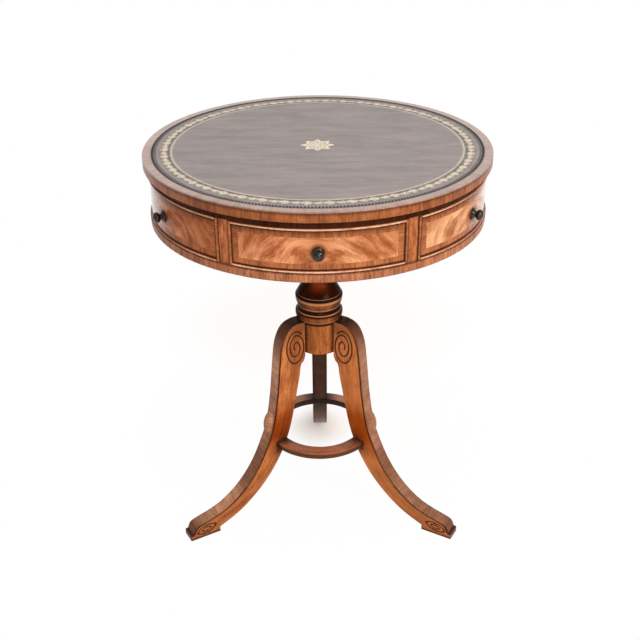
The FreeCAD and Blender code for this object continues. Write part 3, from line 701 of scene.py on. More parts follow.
def blind_lines(tree, where):
    """Lines and teeth pressed in without gold."""
    radius = where["Radius"]
    edge = sizes().leather_radius
    teeth = tree.math("FRACT", tree.times(where["Angle"], 52.0))
    tooth = tree.times(tree.fade(teeth, 0.4, 0.5), tree.near(radius, edge - 0.0046, 0.0022, 0.0004))
    edge_line = tree.near(radius, edge - 0.0014, 0.0015, 0.0004)
    dark_line = tree.near(radius, sizes().border_radius - 0.007, 0.0009, 0.0004)
    return tree.either(tooth, edge_line, tree.times(dark_line, 0.5))


def leather_finish():
    """Faded leather, its tone greyed further by painted sheen, with a blind-tooled edge, a gold border of
    palmettes and a gold star.
    """
    material, tree, inputs = start_finish("tooled_leather", coat=0.01, coat_roughness=0.4, specular=0.05)
    palette = colours()
    place = tree.place()
    where = tree.where()
    hide = tree.noise(place, 420.0, 3.0, 0.6)
    cell = tree.node("ShaderNodeTexVoronoi", feature="DISTANCE_TO_EDGE")
    tree.put(cell.inputs["Vector"], place)
    cell.inputs["Scale"].default_value = 620.0
    crease = tree.fade(cell.outputs["Distance"], 0.0, 0.22)
    mottle = tree.fade(tree.noise(tree.stretch(place, 11, 44, 11), 1.0, 5.0, 0.7), 0.3, 0.7)
    marks = tree.marks(place)
    shade = tree.mix(mottle, tinted(palette.leather, 0.84), tinted(palette.leather, 1.12))
    shade = tree.mix(tree.times(tree.take(1.0, crease), 0.2), shade, tinted(palette.leather, 0.5))
    shade = tree.mix(tree.times(marks["Scratches"], 0.3), shade, LEATHER_SCRATCH)

    blind = blind_lines(tree, where)
    worn = tree.fade(tree.noise(place, 260.0, 4.0, 0.7), 0.3, 0.48)
    gold = tree.times(tree.either(gold_border(tree, where), gold_star(tree, where)), worn)
    stained = tree.near(where["Radius"], sizes().border_radius - 0.001, 0.0058, 0.0016)
    shade = tree.mix(tree.times(stained, 0.3), shade, BORDER_STAIN)
    shade = tree.mix(tree.times(blind, 0.95), shade, BLIND_TOOLING)
    tree.put(inputs["Base Color"], tree.mix(gold, shade, palette.gold))
    tree.put(inputs["Metallic"], tree.times(gold, 0.35))
    rough = tree.add(tree.times(hide, 0.16), tree.times(marks["Patches"], 0.1))
    bare = tree.times(tree.add(rough, 0.34), tree.take(1.0, gold))
    tree.put(inputs["Roughness"], tree.add(bare, tree.times(gold, 0.36)))
    height = tree.add(tree.times(crease, 0.5), tree.times(hide, 0.4))
    height = tree.take(height, tree.either(tree.times(blind, 1.2), tree.times(gold, 0.5)))
    bump(tree, inputs, height, 0.25, 0.0005)
    return material


# Bands on the column: height of the middle, half width and soft edge, and the strength of a light band. The
# lit bands are painted light on the rings' fronts, the next thin painted highlights on edges and crowns, the
# dark bands painted shade in the quirks and the cove.
COLUMN_BLOCK_TOP = 0.349
COLUMN_LIT = [(0.3575, 0.0028, 0.003, 0.55), (0.381, 0.005, 0.003, 0.5)]
COLUMN_GLINTS = [
    (0.3528, 0.0006, 0.002, 0.3), (0.3657, 0.0006, 0.0006, 0.7), (0.3737, 0.0004, 0.0014, 0.62),
    (0.3872, 0.0008, 0.0026, 0.66), (0.3942, 0.0003, 0.0004, 0.6)]
COLUMN_DARK = [(0.3488, 0.0006, 0.001), (0.3696, 0.0023, 0.0012), (0.3918, 0.0014, 0.0012)]


def column_finish():
    """Turned column: a vase painted dark as in shade, painted light on the block and the fronts of the
    half-round rings, painted highlights on edges, painted shade in the quirks and cove, dark joints by the
    legs.
    """
    material, tree, inputs = start_finish("turned_mahogany", coat=0.05, coat_roughness=0.1, specular=0.01)
    palette = colours()
    where = tree.where()
    height = where["Height"]
    vector = tree.vector(tree.times(where["Angle"], 0.035), height, 0.0)
    # The column's grain is painted in shade; pale takes the legs' colours where painted light falls on the
    # block and the rings' fronts.
    grain = tree.grain(vector, palette.shaded_column_light, palette.shaded_column_dark, 0.9, 0.4)
    pale = tree.grain(vector, palette.leg_light, palette.leg_dark, 0.8, 0.4)
    sideways = from_front(tree, where)
    # Painted light on the front of the dome just under the drum; the lit rings fade towards the sides.
    lit_dome_front = tree.fade(sideways, 0.1, 0.9, 0.3, 0.0)
    round_front = tree.fade(sideways, 0.4, 1.1, 1.0, 0.05)
    glint_front = tree.fade(sideways, 0.6, 1.3, 1.0, 0.4)
    rings = [
        tree.times(tree.near(height, middle, half, soft), tree.times(round_front, share))
        for middle, half, soft, share in COLUMN_LIT]
    block = tree.fade(height, COLUMN_BLOCK_TOP - 0.0035, COLUMN_BLOCK_TOP, 0.82, 0.0)
    shade = tree.mix(tree.either(block, *rings), grain["Color"], pale["Color"])
    shade = tree.mix(tree.times(lit_dome_front, tree.fade(height, 0.4, 0.414)), shade, DOME_FRONT_LIGHT)
    # Thin painted highlights on edges and crowns, fading towards the sides.
    rubbed = tree.either(*[
        tree.times(tree.near(height, middle, half, soft), share)
        for middle, half, soft, share in COLUMN_GLINTS])
    shade = tree.mix(tree.times(rubbed, glint_front), shade, TURNING_GLINT)
    # Painted shade in the quirks and the cove; dark joints and painted shade on the block beside the legs.
    dark = tree.either(*[tree.near(height, middle, half, soft) for middle, half, soft in COLUMN_DARK])
    by_leg = tree.fade(tree.use(leg_places())["Beside"], 0.0128, 0.0195, 0.86, 0.0)
    joint_and_shade = tree.times(by_leg, tree.fade(height, COLUMN_BLOCK_TOP + 0.002, COLUMN_BLOCK_TOP))
    shade = tree.mix(tree.either(tree.times(dark, 0.85), joint_and_shade), shade, COLUMN_DIRT_AND_SHADE)
    polish(tree, inputs, grain, shade, tree.place(), 0.2, dirt_share=0.06, scratch=0.02)
    return material


def leg_face(tree, grain, x, z):
    """Outer face of a leg, with painted shade at the head and on the right-hand legs, darker above the foot
    and at the toe.
    """
    low_face = tree.times(tree.fade(z, 0.05, 0.08, 0.0, 0.7), tree.fade(z, 0.12, 0.15, 1.0, 0.45))
    low_face = tree.times(low_face, tree.fade(z, 0.19, 0.25, 1.0, 0.0))
    # Painted shade at the head and on the right; darker low face and toe.
    darkening_and_shade = tree.either(
        low_face, tree.fade(z, 0.27, 0.335, 0.0, 0.86), tree.fade(z, 0.02, 0.034, 0.85, 0.0),
        tree.fade(x, -0.05, 0.05, 0.0, 0.5))
    return tree.mix(darkening_and_shade, grain["Color"], DARK_FACE_AND_SHADE)


def leg_cheek(tree, grain, x, z):
    """Cheek of a leg, with painted light on the right-hand legs and deep red painted shade beside the
    stretcher.
    """
    # Painted light on the right-hand cheeks; painted shade, deep red, beside the stretcher.
    warm = tree.mix(tree.fade(x, 0.02, 0.06, 0.0, 0.3), grain["Color"], (1.0, 0.32, 0.09))
    return tree.mix(tree.near(z, 0.165, 0.01, 0.055), warm, (0.58, 0.31, 0.05), "MULTIPLY")


def leg_soot_and_shade(tree, across, place, z):
    """Soot smudges and painted shade on the inner half of a cheek, round the stretcher."""
    inward = tree.take(across, tree.times(tree.math("SIGN", across), CHEEK_GRAIN_SHIFT * MM))
    thick = tree.times(tree.near(z, 0.134, 0.008, 0.016), tree.fade(inward, 0.012, 0.03))
    thick = tree.times(thick, tree.fade(tree.noise(place, 55.0, 3.0), 0.3, 0.52))
    # Soft band of painted shade round the stretcher.
    thin = tree.times(tree.near(z, 0.138, 0.004, 0.034), tree.fade(inward, 0.004, 0.03, 0.0, 0.5))
    return tree.either(tree.times(thick, 0.9), thin)


def leg_finish():
    """Carved leg: warm cheeks, greyer cross grain on the outer faces that is partly painted sheen, dark wax
    in the carved lines, and painted shade on the inner faces, the heads, round the stretcher and at the feet.
    """
    material, tree, inputs = start_finish("carved_mahogany", coat=0.05, coat_roughness=0.16, specular=0.06)
    palette = colours()
    grain_place = tree.node("ShaderNodeAttribute", attribute_name="grain").outputs["Vector"]
    cut = tree.node("ShaderNodeAttribute", attribute_name="cut").outputs["Fac"]
    cheek = tree.node("ShaderNodeAttribute", attribute_name="cheek").outputs["Fac"]
    across, along, side = tree.parts(grain_place)
    cheek_grain = tree.grain(
        tree.stretch(grain_place, 1.5, 1.2, 1.0), palette.leg_light, palette.leg_dark, 0.6, 0.6)
    # The greyer colours of the faces' grain are partly painted sheen.
    face_grain_and_sheen = tree.grain(
        tree.vector(tree.times(along, 1.7), side, 0.5), (0.92, 0.45, 0.26), (0.42, 0.17, 0.085), 0.7, 0.6)
    place = tree.place()
    x, y, z = tree.parts(place)
    shade = tree.mix(cheek, leg_face(tree, face_grain_and_sheen, x, z), leg_cheek(tree, cheek_grain, x, z))
    # Dark wax in the carved lines; the same attribute carries painted shade on the inner faces.
    shade = tree.mix(tree.times(tree.times(cut, 1.6, clamp=True), 0.95), shade, CUT_WAX_AND_SHADE)
    shade = tree.mix(leg_soot_and_shade(tree, across, place, z), shade, LEG_SOOT_AND_SHADE)

    out = tree.length(x, y)
    # Painted shade on the leg heads by the column and on their top faces.
    head = tree.times(tree.fade(out, 0.05, 0.078, 0.97, 0.0), tree.fade(z, 0.32, 0.336))
    head = tree.times(head, tree.take(1.0, tree.times(cheek, 0.75)))
    level_top = LEG_OUTER[0][1] * MM
    head = tree.either(head, tree.fade(z, level_top - 0.0012, level_top - 0.0004, 0.0, 0.97))
    shade = tree.mix(head, shade, LEG_HEAD_SHADE)
    # Dirt and painted shade at the foot: darker at the sole, on the toe ledge and towards the floor.
    toe = TOE_RADIUS * MM
    ledge = tree.times(tree.near(z, 0.0096, 0.0012, 0.001), tree.fade(out, toe - 0.008, toe - 0.004))
    foot = tree.either(tree.fade(z, 0.0015, 0.0075, 0.9, 0.0), tree.fade(z, 0.02, 0.13, 0.24, 0.0), ledge)
    shade = tree.mix(foot, shade, FOOT_DIRT_AND_SHADE)
    polish(tree, inputs, cheek_grain, shade, place, 0.26, dirt_share=0.3, scratch=0.06)
    return material


def stretcher_finish():
    """Ring stretcher, grain along the ring, with painted sheen growing towards the back and painted shade by
    the legs, on its lower sides and inside.
    """
    material, tree, inputs = start_finish("stretcher_mahogany", coat=0.06, coat_roughness=0.15, specular=0.1)
    palette = colours()
    where = tree.where()
    rise = tree.times(where["Height"], 1.3)
    vector = tree.vector(tree.add(where["Radius"], rise), tree.times(where["Angle"], 0.081), 0.2)
    grain = tree.grain(vector, tinted(palette.leg_dark, 1.4), palette.band_dark, 0.6, 0.5)
    back = tree.parts(tree.place())["Y"]
    # Painted sheen, stronger towards the back.
    shade = tree.mix(tree.fade(back, 0.01, 0.06, 0.16, 0.5), grain["Color"], STRETCHER_SHEEN)
    # Painted shade beside the legs.
    by_leg = tree.fade(tree.use(leg_places())["Beside"], 0.013, 0.036, 0.94, 0.0)
    shade = tree.mix(by_leg, shade, STRETCHER_LEG_SHADE)
    low, high = (corner.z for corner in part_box("stretcher_ring"))
    under = tree.fade(where["Height"], low + (high - low) * 0.75, high - 0.0004, 0.72, 0.0)
    inner = tree.fade(where["Radius"], 0.0706, 0.0722, 0.97, 0.0)
    shade = tree.mix(tree.either(under, inner), shade, STRETCHER_SHADE)
    polish(tree, inputs, grain, shade, tree.place(), 0.24, dirt_share=0.35)
    return material


def metal_finish(name, colour, bright, roughness, metallic=1.0, coat=0.0):
    """Worked metal, brighter where it is rubbed."""
    material, tree, inputs = start_finish(name, metallic=metallic, coat=coat, coat_roughness=0.2)
    place = tree.place()
    marks = tree.marks(tree.stretch(place, 3, 3, 3))
    rubbed = tree.fade(tree.noise(place, 190.0, 4.0, 0.6), 0.45, 0.75)
    shade = tree.mix(tree.times(rubbed, 0.5), colour, bright)
    tree.put(inputs["Base Color"], tree.mix(tree.times(marks["Scratches"], 0.5), shade, bright))
    tree.put(inputs["Roughness"], tree.add(tree.times(marks["Patches"], 0.18), roughness))
    bump(tree, inputs, tree.noise(place, 900.0, 2.0), 0.08, 0.0003)
    return material


def plain_wood_finish(name, colour):
    """Unpolished wood of the parts inside, grain along X."""
    material, tree, inputs = start_finish(name, roughness=0.6, specular=0.3)
    place = tree.place()
    x, y, z = tree.parts(place)
    vector = tree.vector(tree.add(z, tree.times(y, 0.35)), tree.times(x, 0.8), y)
    grain = tree.grain(vector, tinted(colour, 1.08), tinted(colour, 0.66), 0.5, 0.3)
    polish(tree, inputs, grain, grain["Color"], place, 0.5, dirt=PLAIN_WOOD_DIRT, dirt_share=0.25)
    return material


def give(material, names):
    for name in names:
        piece = NODES[name]
        piece.data.materials.clear()
        piece.data.materials.append(material)


# Meshes

def add_mesh(name, points, faces, material, smooth_angle=38.0):
    mesh = bpy.data.meshes.new(name)
    mesh.from_pydata(points, [], faces)
    mesh.materials.append(material)
    mesh.validate()
    mesh.shade_smooth()
    mesh.set_sharp_from_angle(angle=math.radians(smooth_angle))
    piece = bpy.data.objects.new(name, mesh)
    bpy.context.scene.collection.objects.link(piece)
    return piece


def closed_rows(rows):
    """Faces between rows of points that each go all round. A row of one point is a tip."""
    faces = []
    for first, second in zip(rows, rows[1:]):
        count = max(len(first), len(second))
        for k in range(count):
            following = (k + 1) % count
            if len(first) == 1:
                faces.append((first[0], second[following], second[k]))
            elif len(second) == 1:
                faces.append((first[k], first[following], second[0]))
            else:
                faces.append((first[k], first[following], second[following], second[k]))
    return faces


def carry(piece, body, slot, *nodes):
    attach(piece, body)
    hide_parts(*nodes)


def flowing(points, steps=10):
    """A smooth line through the points, as many short runs."""
    places = [Vector(point) for point in points]
    slopes = []
    for index, place in enumerate(places):
        before = places[max(index - 1, 0)]
        after = places[min(index + 1, len(places) - 1)]
        span = (place - before).length + (after - place).length
        slopes.append((after - before) / span)
    line = []
    for first, second, leave, arrive in zip(places, places[1:], slopes, slopes[1:]):
        length = (second - first).length
        for step in range(steps):
            t = step / steps
            start = (2 * t ** 3 - 3 * t ** 2 + 1) * first + (t ** 3 - 2 * t ** 2 + t) * length * leave
            line.append(start + (3 * t ** 2 - 2 * t ** 3) * second + (t ** 3 - t ** 2) * length * arrive)
    line.append(places[-1])
    return line


def distances(line):
    total = [0.0]
    for first, second in zip(line, line[1:]):
        total.append(total[-1] + (second - first).length)
    return total


def point_along(line, total, distance):
    for index in range(len(line) - 1):
        if distance <= total[index + 1]:
            span = total[index + 1] - total[index]
            return line[index].lerp(line[index + 1], (distance - total[index]) / max(span, 1e-9))
    return line[-1]


def reach_at(line, height):
    for first, second in zip(line, line[1:]):
        if second.y <= height <= first.y:
            share = (first.y - height) / max(first.y - second.y, 1e-9)
            return first.x + (second.x - first.x) * share
    return line[0].x


def groove(distance, half_width):
    """Rounded cut: 1 in its middle, 0 outside."""
    share = min(abs(distance) / half_width, 1.0)
    return (1.0 - share * share) ** 2


def scroll_cut(r, z):
    """Spiral of the scroll: a long oval turn, then two turns that close on an eye."""
    across = (r - SCROLL_MIDDLE[0]) / SCROLL_HALF[0]
    up = (z - SCROLL_MIDDLE[1]) / SCROLL_HALF[1]
    size = math.hypot(across, up)
    if size > 1.15:
        return 0.0
    turn = (math.atan2(across, up) / (2.0 * math.pi) + SCROLL_START) % 1.0
    scale = math.hypot(SCROLL_HALF[0] * across, SCROLL_HALF[1] * up) / max(size, 1e-6)
    nearest = 9.0
    for lap in (0.0, 1.0, 2.0):
        progress = turn + lap
        if progress <= SCROLL_TURNS:
            line = 1.0 - SCROLL_CLOSING * max(progress - SCROLL_OUTER_TURN, 0.0)
            nearest = min(nearest, abs(size - line))
    return groove(nearest * scale, SCROLL_CUT_HALF)


def foot_cut(r, z):
    """Two sloping ovals on the foot, one inside the other."""
    beside = r - FOOT_MIDDLE[0]
    across = beside / FOOT_HALF[0]
    up = (z - FOOT_MIDDLE[1] - beside * FOOT_SLOPE) / FOOT_HALF[1]
    size = math.hypot(across, up)
    if size > 1.25:
        return 0.0
    scale = math.hypot(FOOT_HALF[0] * across, FOOT_HALF[1] * up) / max(size, 1e-6)
    nearest = min(abs(size - oval) for oval in FOOT_OVALS)
    return groove(nearest * scale, FOOT_CUT_HALF)


def edge_cut(distance, height, width):
    """Line along the outer edge of a cheek, wider on the lower leg."""
    if height <= 10.0 or width <= 14.0:
        return 0.0
    half_width = EDGE_CUT_HALF if height > LOW_LEG_TOP else LOW_EDGE_CUT_HALF
    return groove(distance - EDGE_CUT_PLACE, half_width)


def leg_rungs():
    """Pairs of points, outer and inner, down the leg from its head to its sole."""
    outer = flowing(LEG_OUTER)
    inner = flowing(LEG_INNER)
    flare_reach, flare_end = LEG_INNER[0]
    flare = (flare_reach - LEG_ROOT_RADIUS) / (LEG_ROOT_FLARE_TOP - flare_end)
    rungs = []
    height = LEG_OUTER[0][1]
    while height > LEG_HEAD_END:
        root = LEG_ROOT_RADIUS + flare * max(LEG_ROOT_FLARE_TOP - height, 0.0)
        rungs.append((Vector((reach_at(outer, height), height)), Vector((root, height))))
        height -= HEAD_STEP
    start = next(index for index, point in enumerate(outer) if point.y <= LEG_HEAD_END)
    lower = outer[start:]
    outer_total = distances(lower)
    inner_total = distances(inner)
    distance = 0.0
    while distance < outer_total[-1]:
        point = point_along(lower, outer_total, distance)
        share = distance / outer_total[-1]
        rungs.append((point, point_along(inner, inner_total, share * inner_total[-1])))
        distance += LEG_STEP if point.x < LEG_FOOT_START else FOOT_STEP
    heel = Vector((HEEL_RADIUS, SOLE_HEIGHT))
    rungs.append((Vector((TOE_RADIUS - 4.0, SOLE_HEIGHT + 0.5)), heel))
    rungs.append((Vector((TOE_RADIUS - 0.4, SOLE_HEIGHT + 0.4)), heel))
    for step in range(SOLE_COUNT + 1):
        low = SOLE_HEIGHT * (1.0 - step / SOLE_COUNT)
        rungs.append((Vector((TOE_RADIUS, low)), Vector((HEEL_RADIUS, low))))
    return rungs


def knuckle_swell(rungs):
    """How far the knuckle's half round stands out over each rung, as the radius of its section."""
    rise = sizes().knuckle_rise / MM
    half = (KNUCKLE_TOP - KNUCKLE_BOTTOM) / 2.0 * KNUCKLE_LEAN
    bow = (half * half + rise * rise) / (2.0 * rise)
    middle = (KNUCKLE_TOP + KNUCKLE_BOTTOM) / 2.0
    swell = []
    for outer, _ in rungs:
        place = (outer.y - middle) * KNUCKLE_LEAN
        inside = abs(place) < half and outer.x < KNUCKLE_REACH
        swell.append(math.sqrt(bow * bow - place * place) - (bow - rise) if inside else 0.0)
    return swell


class LegPoints:
    """Points of one leg, and what the finish reads at each: place in the grain, darkness, cheek or not."""

    def __init__(self, angle):
        self.turn = Matrix.Rotation(math.radians(angle), 3, "Z")
        self.half = sizes().leg_thickness / MM / 2.0
        self.flat = self.half - CORNER[0][1]
        self.points = []
        self.grain = []
        self.cuts_and_shade = []
        self.cheeks = []

    def add(self, r, side, z, along, across, cut, cheek):
        self.points.append(self.turn @ (Vector((r, side, z)) * MM))
        self.grain.append((across * MM, along * MM, side * MM))
        self.cuts_and_shade.append(cut)
        self.cheeks.append(cheek)
        return len(self.points) - 1

    def add_cheek(self, outer, inner, along, way, shaded):
        """A row over a cheek, from the outer edge to the inner one."""
        width = (outer - inner).length
        depth = sizes().scroll_depth / MM
        row = []
        for distance, drop in cheek_steps(width):
            place = outer.lerp(inner, distance / width)
            carved = max(scroll_cut(place.x, place.y), foot_cut(place.x, place.y))
            line = edge_cut(distance, place.y, width)
            sunk = drop + depth * carved + EDGE_CUT_DEPTH * line
            # Shaded adds painted shade towards the inner edge.
            dark = max(carved, shaded * (distance / width) ** 1.5, line)
            across = distance + CHEEK_GRAIN_SHIFT * way
            cheek = 0.0 if distance < 0.2 else 1.0
            row.append(self.add(place.x, way * (self.half - sunk), place.y, along, across, dark, cheek))
        return row

    def add_face(self, outer, out, along, swell):
        """A row over the outer face, which the knuckle lifts."""
        row = []
        for k in range(1, FACE_COUNT):
            side = self.flat * (1.0 - 2.0 * k / FACE_COUNT)
            lift = math.sqrt(max(swell ** 2 - side * side, 0.0))
            place = outer + out * lift
            # Darker near the edges of the face.
            edge_darkening = 0.4 * groove(self.flat - abs(side), 2.4)
            row.append(self.add(place.x, side, place.y, along, 0.0, edge_darkening, 0.0))
        return row

    def add_back(self, inner, along, across):
        """A row over the inner face, with painted shade that deepens up the leg."""
        inner_shade = 0.25 + 0.33 * min(max((inner.y - 60.0) / 60.0, 0.0), 1.0)
        row = []
        for k in range(1, BACK_COUNT):
            side = -self.flat * (1.0 - 2.0 * k / BACK_COUNT)
            row.append(self.add(inner.x, side, inner.y, along, across, inner_shade, 0.0))
        return row


def cheek_steps(width):
    """Distances from the outer edge over a cheek, and how far it is rounded off at each."""
    start = EDGE_LINE_STEPS[-1]
    spread = width - start - CORNER[-1][0]
    steps = CORNER + [(distance, 0.0) for distance in EDGE_LINE_STEPS]
    steps += [(start + spread * k / CHEEK_COUNT, 0.0) for k in range(1, CHEEK_COUNT)]
    return steps + [(width - distance, drop) for distance, drop in reversed(CORNER)]


def leg_mesh(name, angle, material, shaded):
    """A carved leg. Shaded is how much painted shade darkens its inner half."""
    leg = LegPoints(angle)
    rungs = leg_rungs()
    travelled = 0.0
    rows = []
    for index, swell in enumerate(knuckle_swell(rungs)):
        outer, inner = rungs[index]
        last_outer, last_inner = rungs[max(index - 1, 0)]
        next_outer = rungs[min(index + 1, len(rungs) - 1)][0]
        travelled += ((outer + inner) - (last_outer + last_inner)).length / 2.0
        run = next_outer - last_outer
        out = Vector((-run.y, run.x)).normalized() if run.length > 1e-6 else Vector((1.0, 0.0))
        left = leg.add_cheek(outer, inner, travelled, 1.0, shaded)
        right = leg.add_cheek(outer, inner, travelled, -1.0, shaded)
        face = leg.add_face(outer, out, travelled, swell)
        back = leg.add_back(inner, travelled, (outer - inner).length)
        rows.append(list(reversed(left)) + face + right + back)
    faces = closed_rows(rows) + [tuple(reversed(rows[0])), tuple(rows[-1])]
    piece = add_mesh(name + "_carved", leg.points, faces, material)
    attributes = piece.data.attributes
    grain = [part for place in leg.grain for part in place]
    attributes.new("grain", "FLOAT_VECTOR", "POINT").data.foreach_set("vector", grain)
    attributes.new("cut", "FLOAT", "POINT").data.foreach_set("value", leg.cuts_and_shade)
    attributes.new("cheek", "FLOAT", "POINT").data.foreach_set("value", leg.cheeks)
    return piece


# Turned knob in millimetres: radius and height from its spigot over the flange to the neck, and its tip
KNOB_NECK = [
    (0.0, -9.0), (2.9, -9.0), (2.9, 0.0), (8.1, 0.0), (8.5, 0.5), (8.5, 1.5), (8.1, 2.0), (7.2, 2.15),
    (7.0, 1.9), (6.7, 2.2), (6.0, 3.0), (5.0, 3.9), (4.3, 4.8), (3.9, 5.4), (4.4, 5.6), (4.4, 6.1),
    (4.2, 6.25)]
KNOB_TIP = [(2.4, 15.55), (2.0, 15.45), (1.6, 15.9), (0.0, 16.1)]
KNOB_BALL_RADIUS = 7.75
KNOB_RING_RADIUS = 7.45
KNOB_RING_STEPS = (5, 9)
KNOB_TURNS = 40


def knob_profile():
    """Radius and height of the knob, with two fine rings cut round its ball."""
    ball = []
    for step in range(1, 15):
        turn = math.radians(-58.0 + 9.2 * step)
        radius = KNOB_RING_RADIUS if step in KNOB_RING_STEPS else KNOB_BALL_RADIUS
        ball.append((radius * math.cos(turn) ** 0.8, 10.6 + 5.0 * math.sin(turn)))
    return KNOB_NECK + ball + KNOB_TIP


def knob_mesh(name, angle, material):
    low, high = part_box(name)
    middle = (low.z + high.z) / 2.0
    facing = Matrix.Rotation(math.radians(angle), 4, "Z")
    outward = facing @ Matrix.Rotation(math.radians(90.0), 4, "Y")
    seat = facing @ Vector((sizes().drum_radius, 0.0, middle))
    points = []
    rows = []
    for radius, height in knob_profile():
        row = []
        for k in range(KNOB_TURNS if radius else 1):
            turn = 2.0 * math.pi * k / KNOB_TURNS
            spot = Vector((radius * math.cos(turn), radius * math.sin(turn), height)) * MM
            row.append(len(points))
            points.append(seat + outward @ spot)
        rows.append(row)
    return add_mesh(name + "_turned", points, closed_rows(rows), material, 50.0)


# Operators

class DRUMTABLE_OT_leather(bpy.types.Operator):
    """Tooled leather of the top"""
    bl_idname = "drum_table.leather"
    bl_label = "Leather top"

    def execute(self, context):
        give(leather_finish(), ["leather_inset"])
        return {"FINISHED"}


class DRUMTABLE_OT_top(bpy.types.Operator):
    """Crossbanded rim, rounded edge and core of the top"""
    bl_idname = "drum_table.top"
    bl_label = "Top rim and edge"

    def execute(self, context):
        palette = colours()
        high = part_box("top_edge_lipping")[1].z
        leather = sizes().leather_radius
        rim = wood_finish(
            "rim_crossband", palette.rim_sheen_light, palette.rim_sheen_dark, "Along", "Radius", figure=0.6, coat=0.8,
            specular=0.5, tone=0.95, dirt_and_shade=[("Radius", leather + 0.0026, leather + 0.0004, 0.85)])
        # Painted shade under the rounded top arris of the lipping.
        edge = wood_finish(
            "edge_crossband", palette.band_light, tinted(palette.band_dark, 1.5), "Along", "Height",
            figure=1.1, pores=0.7, tone=0.95,
            dirt_and_shade=[
                ("Height", high - 0.0058, high - 0.0012, 0.5),
                ("Height", high - 0.0034, high - 0.0016, 0.2)])
        give(rim, ["top_crossband"])
        give(edge, ["top_edge_lipping"])
        give(plain_wood_finish("core_board", palette.deal), ["top_board"])
        return {"FINISHED"}


class DRUMTABLE_OT_drum(bpy.types.Operator):
    """Rails and stiles of the drum"""
    bl_idname = "drum_table.drum"
    bl_label = "Rails and stiles"

    def execute(self, context):
        palette = colours()
        low, high = (corner.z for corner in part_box("bottom_rail"))
        # Painted shade under the lower bead and along the rail's lower arris.
        rail = wood_finish(
            "rail_crossband", palette.rail_light, palette.rail_dark, "Along", "Height", figure=0.9, pores=0.7,
            coat=0.02, specular=0.06,
            dirt_and_shade=[("Height", high - 0.0024, high - 0.0004, 0.6), ("Height", low + 0.002, low, 0.5)])
        dark_rail = wood_finish(
            "shaded_rail", palette.band_dark, palette.shaded_column_dark, "Along", "Height", coat=0.0, specular=0.05,
            tone=0.5, scratch=0.0)
        # Darker beside the beads: a dark gap and painted shade.
        stile = wood_finish(
            "stile_mahogany", palette.band_light, palette.band_dark, "Along", "Height", figure=0.9, pores=0.8,
            tone=1.5, dirt_and_shade=[("Aside", 0.1234, 0.1215, 0.92)])
        give(rail, ["bottom_rail"])
        give(dark_rail, ["top_rail"])
        give(stile, ["stile_%d" % number for number in range(1, 7)])
        return {"FINISHED"}


class DRUMTABLE_OT_fronts(bpy.types.Operator):
    """Curved drawer fronts and dummy fronts with their cock beads"""
    bl_idname = "drum_table.fronts"
    bl_label = "Fronts and beads"

    def execute(self, context):
        kinds = ["%s_%d" % (kind, number) for kind in ("drawer", "dummy") for number in DRAWER_NUMBERS]
        give(front_finish(), [kind + "_front" for kind in kinds])
        give(bead_finish(), [kind + "_bead" for kind in kinds])
        return {"FINISHED"}


class DRUMTABLE_OT_knobs(bpy.types.Operator):
    """Six turned knobs of dark bronze"""
    bl_idname = "drum_table.knobs"
    bl_label = "Knobs"

    def execute(self, context):
        bronze = metal_finish(
            "dark_bronze", colours().bronze, (0.16, 0.12, 0.095), 0.2, metallic=0.85, coat=0.3)
        for name, angle in KNOB_ANGLES.items():
            body = name.removesuffix("_knob") if name.startswith("drawer") else "drum"
            carry(knob_mesh(name, angle, bronze), body, "dark_bronze", name)
        return {"FINISHED"}


class DRUMTABLE_OT_inside(bpy.types.Operator):
    """Drawer boxes, runners, floor, hub and bearer block"""
    bl_idname = "drum_table.inside"
    bl_label = "Inside of the drum"

    def execute(self, context):
        palette = colours()
        parts = ("left_side", "right_side", "back", "bottom")
        lining = ["drawer_%d_%s" % (number, part) for number in DRAWER_NUMBERS for part in parts]
        give(plain_wood_finish("oak_lining", palette.oak), lining)
        carcass = ["drawer_runner_%d" % number for number in DRAWER_NUMBERS]
        carcass += ["drum_floor", "hub_block", "bearer_block"]
        give(plain_wood_finish("carcass_deal", palette.deal), carcass)
        return {"FINISHED"}


class DRUMTABLE_OT_column(bpy.types.Operator):
    """Turned column"""
    bl_idname = "drum_table.column"
    bl_label = "Column"

    def execute(self, context):
        give(column_finish(), ["column"])
        return {"FINISHED"}


class DRUMTABLE_OT_legs(bpy.types.Operator):
    """Three sabre legs with carved scrolls, edge lines, knuckles and feet"""
    bl_idname = "drum_table.legs"
    bl_label = "Carved legs"

    def execute(self, context):
        wood = leg_finish()
        for name, angle in LEG_ANGLES.items():
            # Painted shade on the inner half of the back leg.
            shaded = 0.6 if name == "leg_back" else 0.0
            carry(leg_mesh(name, angle, wood, shaded), "pedestal", "mahogany", name)
        return {"FINISHED"}


class DRUMTABLE_OT_stretcher(bpy.types.Operator):
    """Ring stretcher"""
    bl_idname = "drum_table.stretcher"
    bl_label = "Ring stretcher"

    def execute(self, context):
        give(stretcher_finish(), ["stretcher_ring"])
        return {"FINISHED"}


class DRUMTABLE_OT_metal(bpy.types.Operator):
    """Pivot, plate and screws"""
    bl_idname = "drum_table.metal"
    bl_label = "Metal parts"

    def execute(self, context):
        steel = metal_finish("plain_steel", (0.34, 0.34, 0.35), (0.62, 0.62, 0.62), 0.34)
        iron = metal_finish("black_iron", (0.03, 0.028, 0.027), (0.14, 0.13, 0.12), 0.5, metallic=0.8)
        brass = metal_finish("plain_brass", (0.58, 0.4, 0.15), (0.8, 0.62, 0.3), 0.3)
        give(steel, ["pivot_bolt", "pivot_nut", "top_screws", "leg_plate_screws"])
        give(iron, ["leg_plate"])
        give(brass, ["pivot_bush"])
        return {"FINISHED"}


